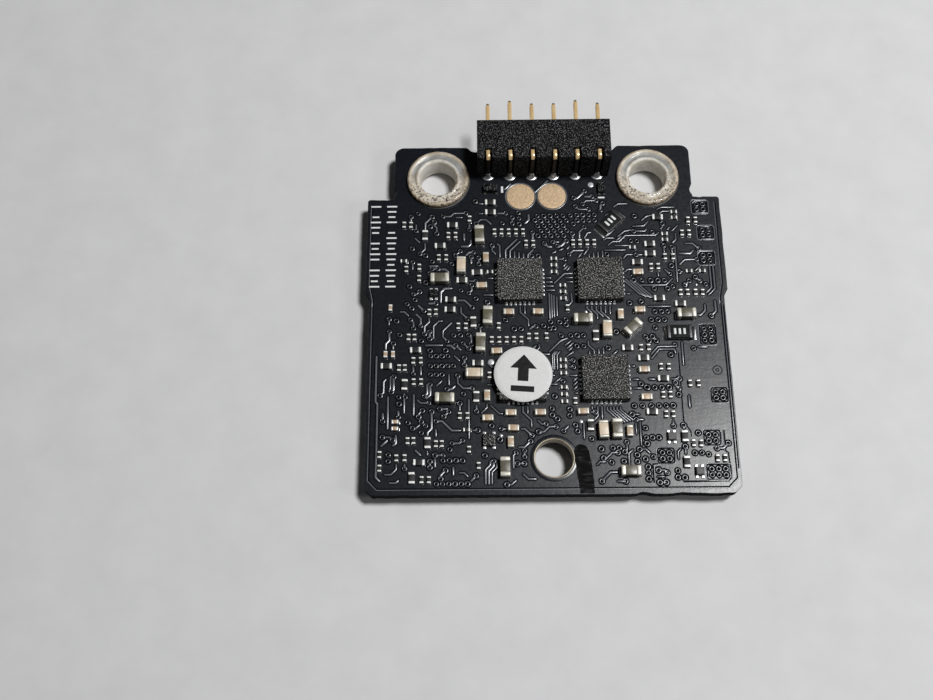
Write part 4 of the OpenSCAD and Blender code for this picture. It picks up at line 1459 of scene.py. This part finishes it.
def add_clusters(copper, router):
    """The squares of vias, each inside its own raised edge."""
    for box in cluster_places():
        copper.places += box
        xs, ys = zip(*box)
        x0, y0, x1, y1 = min(xs) - 0.4, min(ys), max(xs) + 0.4, max(ys)
        outline = soft_rectangle(x0, y0 - 0.38, x1, y1 + 0.38, 0.16)
        copper.plane_edge([*outline, outline[0]])
        router.block(x0, y0 - 0.4, x1, y1 + 0.4)


def add_main_tracks(copper, router):
    for width, path in track_paths():
        copper.track(path, width)
        router.block_path(path, 0.08)
    for place in copper.places:
        router.block_disc(*place, VIA_ROOM)


def add_lead_tracks(copper, router):
    """Tracks from the chips' leads, many of them with a via at the end."""
    for path in lead_paths(router):
        copper.track(path, TRACK_W)
        if random.random() < 0.6 and router.free(*path[-1], 0.1):
            copper.places.append(path[-1])
        router.block_path(path, 0.06)


def add_stubs(copper, router):
    """Short tracks from the ends of the small parts, most of them with a via."""
    for start, heading in stub_starts():
        if random.random() < 0.15:
            continue
        path = router.lay(start, heading)
        if path:
            copper.track(path, random.choice((0.14, 0.16, 0.18)))
            router.block_path(path, 0.1)
            if random.random() < 0.8:
                copper.places.append(path[-1])
                router.block_disc(*path[-1], VIA_ROOM)


def add_filling(copper, router):
    """Short tracks in the places that are still free, with vias at some ends."""
    for path in fill_paths(router, 4000):
        copper.track(path, random.choice((0.14, 0.16, 0.19)))
        for end in (path[0], path[-1]):
            if random.random() < 0.55 and all(math.dist(end, p) > VIA_PITCH for p in copper.places):
                copper.places.append(end)
                router.block_disc(*end, VIA_ROOM)
    copper.places += spare_vias(router, 1500)


def make_copper():
    """Tracks, vias and plane edges, each gathered into one piece."""
    router = Router()
    block_parts(router)
    copper = Copper()
    copper.places = [place for place in via_places() if router.free(*place, 0.12)]
    for add in (add_clusters, add_main_tracks, add_lead_tracks, add_stubs, add_filling):
        add(copper, router)
    copper.add_vias()
    for path in plane_lines():
        copper.plane_edge(path)
    copper.add_target(14.46, 10.8)
    copper.tracks.piece("board_tracks", [TRACK_AND_PAINTED_HIGHLIGHT], (), "pcb", 60)
    copper.vias.piece("board_vias", [RING_AND_PAINTED_HIGHLIGHT, HOLE_PAINTED_SHADE, GAP], (), "pcb", 60)
    copper.gaps.piece("board_copper_gaps", [GAP], (), "pcb", 30)


# ---- Ink on the board ----
def make_print():
    """Plain ticks and bars where the board carries its printing."""
    ink = Shape()
    for x, spaces in ((-15.25, (4, 9, 14)), (-13.8, (11,))):
        for i in range(16):
            if i not in spaces:
                size = (0.92, 0.62, 0.8)[i % 3]
                ink.add(rounded_box(size, 0.15, 0.012, 0.004, 1), place_at(x, 18.9 + i * 0.53))
    ink.add(rounded_box(0.2, 0.65, 0.03, 0.01, 2), place_at(-3.74, 28.48))
    ink.add(rounded_box(0.6, 0.15, 0.03, 0.01, 2), place_at(5.3, 27.55))
    ink.piece("board_print", [WHITE_INK], (), "pcb", 40)


def make_bare_spots():
    """Two round marks of bare metal, and a few small blobs of solder."""
    dots = Shape()
    for x, y in ((4.4, 28.87), (-4.95, 11.7)):
        dots.add(revolve([(0.27, 0), (0.25, 0.03), (0.18, 0.04), (0.08, 0.045)], 32), place_at(x, y))
    blobs = ((-4.18, 5.1, 0.17, 0.12), (3.44, 16.3, 0.13, 0.05), (2.6, 6.3, 0.16, 0.05))
    blobs += ((12.4, 18.8, 0.1, 0.06), (13.3, 18.77, 0.1, 0.06))
    for x, y, r, h in blobs:
        mound = [(r, 0), (r * 0.9, h * 0.5), (r * 0.6, h * 0.85), (r * 0.25, h)]
        dots.add(revolve(mound, 20), place_at(x, y))
    dots.piece("board_bare_spots", [SOLDER], (), "solder", 60)


def make_marker():
    """A brushed stroke of black marker ink beside the front hole."""
    left, right = [], []
    for k in range(25):
        up = k / 24
        y = 0.12 + 3.6 * up
        left.append((2.28 - 0.45 * up + 0.06 * wave(0, y * 3, 2), y))
        right.append((3.47 - 0.33 * up * up + 0.06 * wave(3, y * 3, 2), y))
    cap = arc(2.48, 3.72, 0.6, 150, 30, 8)
    stroke = Shape()
    stroke.add(prism(left[::-1] + right + cap[::-1], [(0.001, 0), (0.014, 0.02)]))
    stroke.piece("marker_stroke", [MARKER], (), "pcb", 20)


# ---- Underside ----
def hanging(width, depth, height, edge, segments=2, taper=0.0, top=-BOARD_T):
    """A rounded box that hangs from top, or from the board's lower face."""
    points, faces = rounded_box(width, depth, height, edge, segments, taper)
    points = np.array(points)
    points[:, 2] = top - points[:, 2]
    return points, faces


def make_power_transistors():
    """The cases under the board, each with a round mark moulded at one corner."""
    mark = revolve([(0.22, -0.02), (0.22, 0.008), (0.18, 0.012), (0.08, 0.012)], 24)
    for corner in CORNERS:
        node = "power_transistors_" + corner
        bodies = Shape()
        for (x, y, z), (width, depth, height) in solids(node):
            case = hanging(width, depth, height - 0.008, 0.06, 3, 0.04, z + height / 2)
            bodies.add(case, place_at(x, y))
            spot = place_at(x - 1.15, y + 1.15, z - height / 2 + 0.012)
            bodies.add(mark, spot @ Matrix.Rotation(math.pi, 4, "X"), 1)
        bodies.piece(node + "_cases", [POWER, PRINT], [node], "power_plastic", 50)


def make_underside_metal():
    """Feet of the power transistors, and mounds of solder on the wire pads."""
    feet = Shape()
    for (x, y, _), size in solids("power_transistor_pads"):
        foot = hanging(size[0] * 1.05, size[1], size[2], min(size[2] * 0.4, 0.08))
        feet.add(foot, place_at(x, y))
    feet.piece("power_transistor_feet", [SOLDER], ["power_transistor_pads"], "solder", 60)
    for node in ("motor_wire_pads", "battery_wire_pads"):
        pads = Shape()
        for (x, y, _), size in solids(node):
            pads.add(hanging(size[0], size[1], 0.06, 0.02), place_at(x, y))
            pads.add(solder_pillow(size[0] - 0.1, size[1] - 0.1, size[2] - 0.02), place_at(x, y))
        pads.piece(node + "_solder", [SOLDER], [node], "solder", 60)


def solder_pillow(width, depth, height, rows=6):
    """A low mound of solder that hangs from a rectangular pad."""
    corner = min(width, depth) * 0.3
    outline = soft_rectangle(-width / 2, -depth / 2, width / 2, depth / 2, corner, 5)
    points = []
    for k in range(rows + 1):
        turn = k / rows * math.pi / 2
        scale = math.cos(turn * 0.92)
        uneven = (1 + 0.06 * math.sin(k * 2.1)) ** 0.3
        z = -BOARD_T - height * math.sin(turn)
        points += [(x * scale, y * scale * uneven, z) for x, y in outline]
    n = len(outline)
    faces = grid_faces(rows + 1, n)
    faces.append(tuple(range(n)))
    faces.append(tuple(rows * n + i for i in reversed(range(n))))
    return points, faces


def make_underside_copper():
    """Vias and wide tracks between the power transistors and the wire pads."""
    flip = Matrix.Translation((0, 0, -BOARD_T)) @ Matrix.Diagonal((1, 1, -1, 1))
    copper = Shape()
    ring = via_shape()
    for side in (-1, 1):
        for y in (3, 7, 11, 16, 20, 24):
            plate = rectangle(side * 14.225 - 1.025, y - 1.5, side * 14.225 + 1.025, y + 1.5)
            copper.add(prism(plate, [(0, 0), (0.02, 0.05)]), flip)
        for k in range(12):
            for x in (5.3, 4.7):
                copper.add(ring, flip @ Matrix.Translation((side * x, 6.5 + 1.6 * k, 0)))
        for k in range(5):
            x, end_x = side * (1.2 + 0.45 * k), side * (0.9 + 0.3 * k)
            path = [(x, 8.5), (x, 22.5 - k), (end_x, 23.2 - k)]
            copper.add(ridge(path, TRACK_W, TRACK_H), flip)
            copper.add(ring, flip @ Matrix.Translation((x, 8.3, 0)))
    copper.piece("underside_copper", [TRACK_AND_PAINTED_HIGHLIGHT], (), "pcb", 60)


# ---- Studio ----


# The camera's place in board millimetres, and its azimuth, depression and roll in degrees.
EYE = (-6.04, -19.23, 87.06)
EYE_ANGLES = (-1.85, 69.77, -2.27)
LENS = 41.27


def make_floor():
    """A plain pale floor, on which the object stands."""
    work = bmesh.new()
    bmesh.ops.create_grid(work, x_segments=8, y_segments=8, size=1.5)
    mesh = bpy.data.meshes.new("floor")
    work.to_mesh(mesh)
    work.free()
    mesh.materials.append(FLOOR)
    floor = link(bpy.data.objects.new("floor", mesh))


def make_camera():
    """The camera at the angle of the photograph."""
    place = Vector(EYE) * MM + Vector((0, FRONT_Y, TOP_Z))
    azimuth, depression, roll = (math.radians(a) for a in EYE_ANGLES)
    level = math.cos(depression)
    forward = Vector((math.sin(azimuth) * level, math.cos(azimuth) * level, -math.sin(depression)))
    right = Vector((math.cos(azimuth), -math.sin(azimuth), 0))
    right_rolled = right * math.cos(roll) + right.cross(forward) * math.sin(roll)
    up_rolled = right_rolled.cross(forward)
    turn = Matrix((right_rolled, up_rolled, -forward)).transposed().to_4x4()
    data = bpy.data.cameras.new("camera")
    data.lens = LENS
    data.sensor_width = 36.0
    data.clip_start = 0.001
    camera = link(bpy.data.objects.new("camera", data))
    camera.matrix_world = Matrix.Translation(place) @ turn
    bpy.context.scene.camera = camera


def make_light(name, direction, distance, size, power):
    """A round soft light that shines at the middle of the board."""
    data = bpy.data.lights.new(name, "AREA")
    data.shape = "DISK"
    data.size = size
    data.energy = power
    lamp = link(bpy.data.objects.new(name, data))
    place = Vector(direction).normalized() * distance
    lamp.location = place
    lamp.rotation_euler = place.to_track_quat("Z", "Y").to_euler()


def make_world():
    world = bpy.data.worlds.new("soft_studio")
    world.use_nodes = True
    background = world.node_tree.nodes["Background"]
    background.inputs["Color"].default_value = (0.93, 0.95, 1.0, 1.0)
    background.inputs["Strength"].default_value = 0.03
    bpy.context.scene.world = world


def make_studio():
    make_floor()
    make_camera()
    make_light("key", (0.38, 0.09, 1.0), 0.36, 0.075, 1.22)
    make_light("rear_fill", (-0.5, 0.5, 1.0), 0.8, 0.2, 0.05)
    make_light("front_glint", (0.75, -0.3, 0.62), 0.36, 0.09, 0.15)
    make_world()
    bpy.context.scene.view_settings.view_transform = "Standard"


make_studio()
make_board()
make_all_passives()
for shunt in ("shunt_side", "shunt_rear"):
    make_shunt(shunt)
for corner in CORNERS:
    make_controller_chip(corner)
for node in ("sensor_chip", "regulator_chip", "diode_chip", "transistor_chip"):
    make_small_chip(node, CHIP if node == "sensor_chip" else BLOCK, "chip_plastic", 0.03)
for node in ("oscillator_side", "oscillator_corner"):
    make_small_chip(node, RESISTOR, "chip_plastic", 0.04, lid=True)
make_small_pads()
make_header_block()
make_header_pins()
make_header_solder()
for side in ("left", "right"):
    make_grommet(side)
    make_ring_pad(side)
make_front_hole()
make_test_pads()
make_label()
make_copper()
make_print()
make_bare_spots()
make_marker()
make_power_transistors()
make_underside_metal()
make_underside_copper()
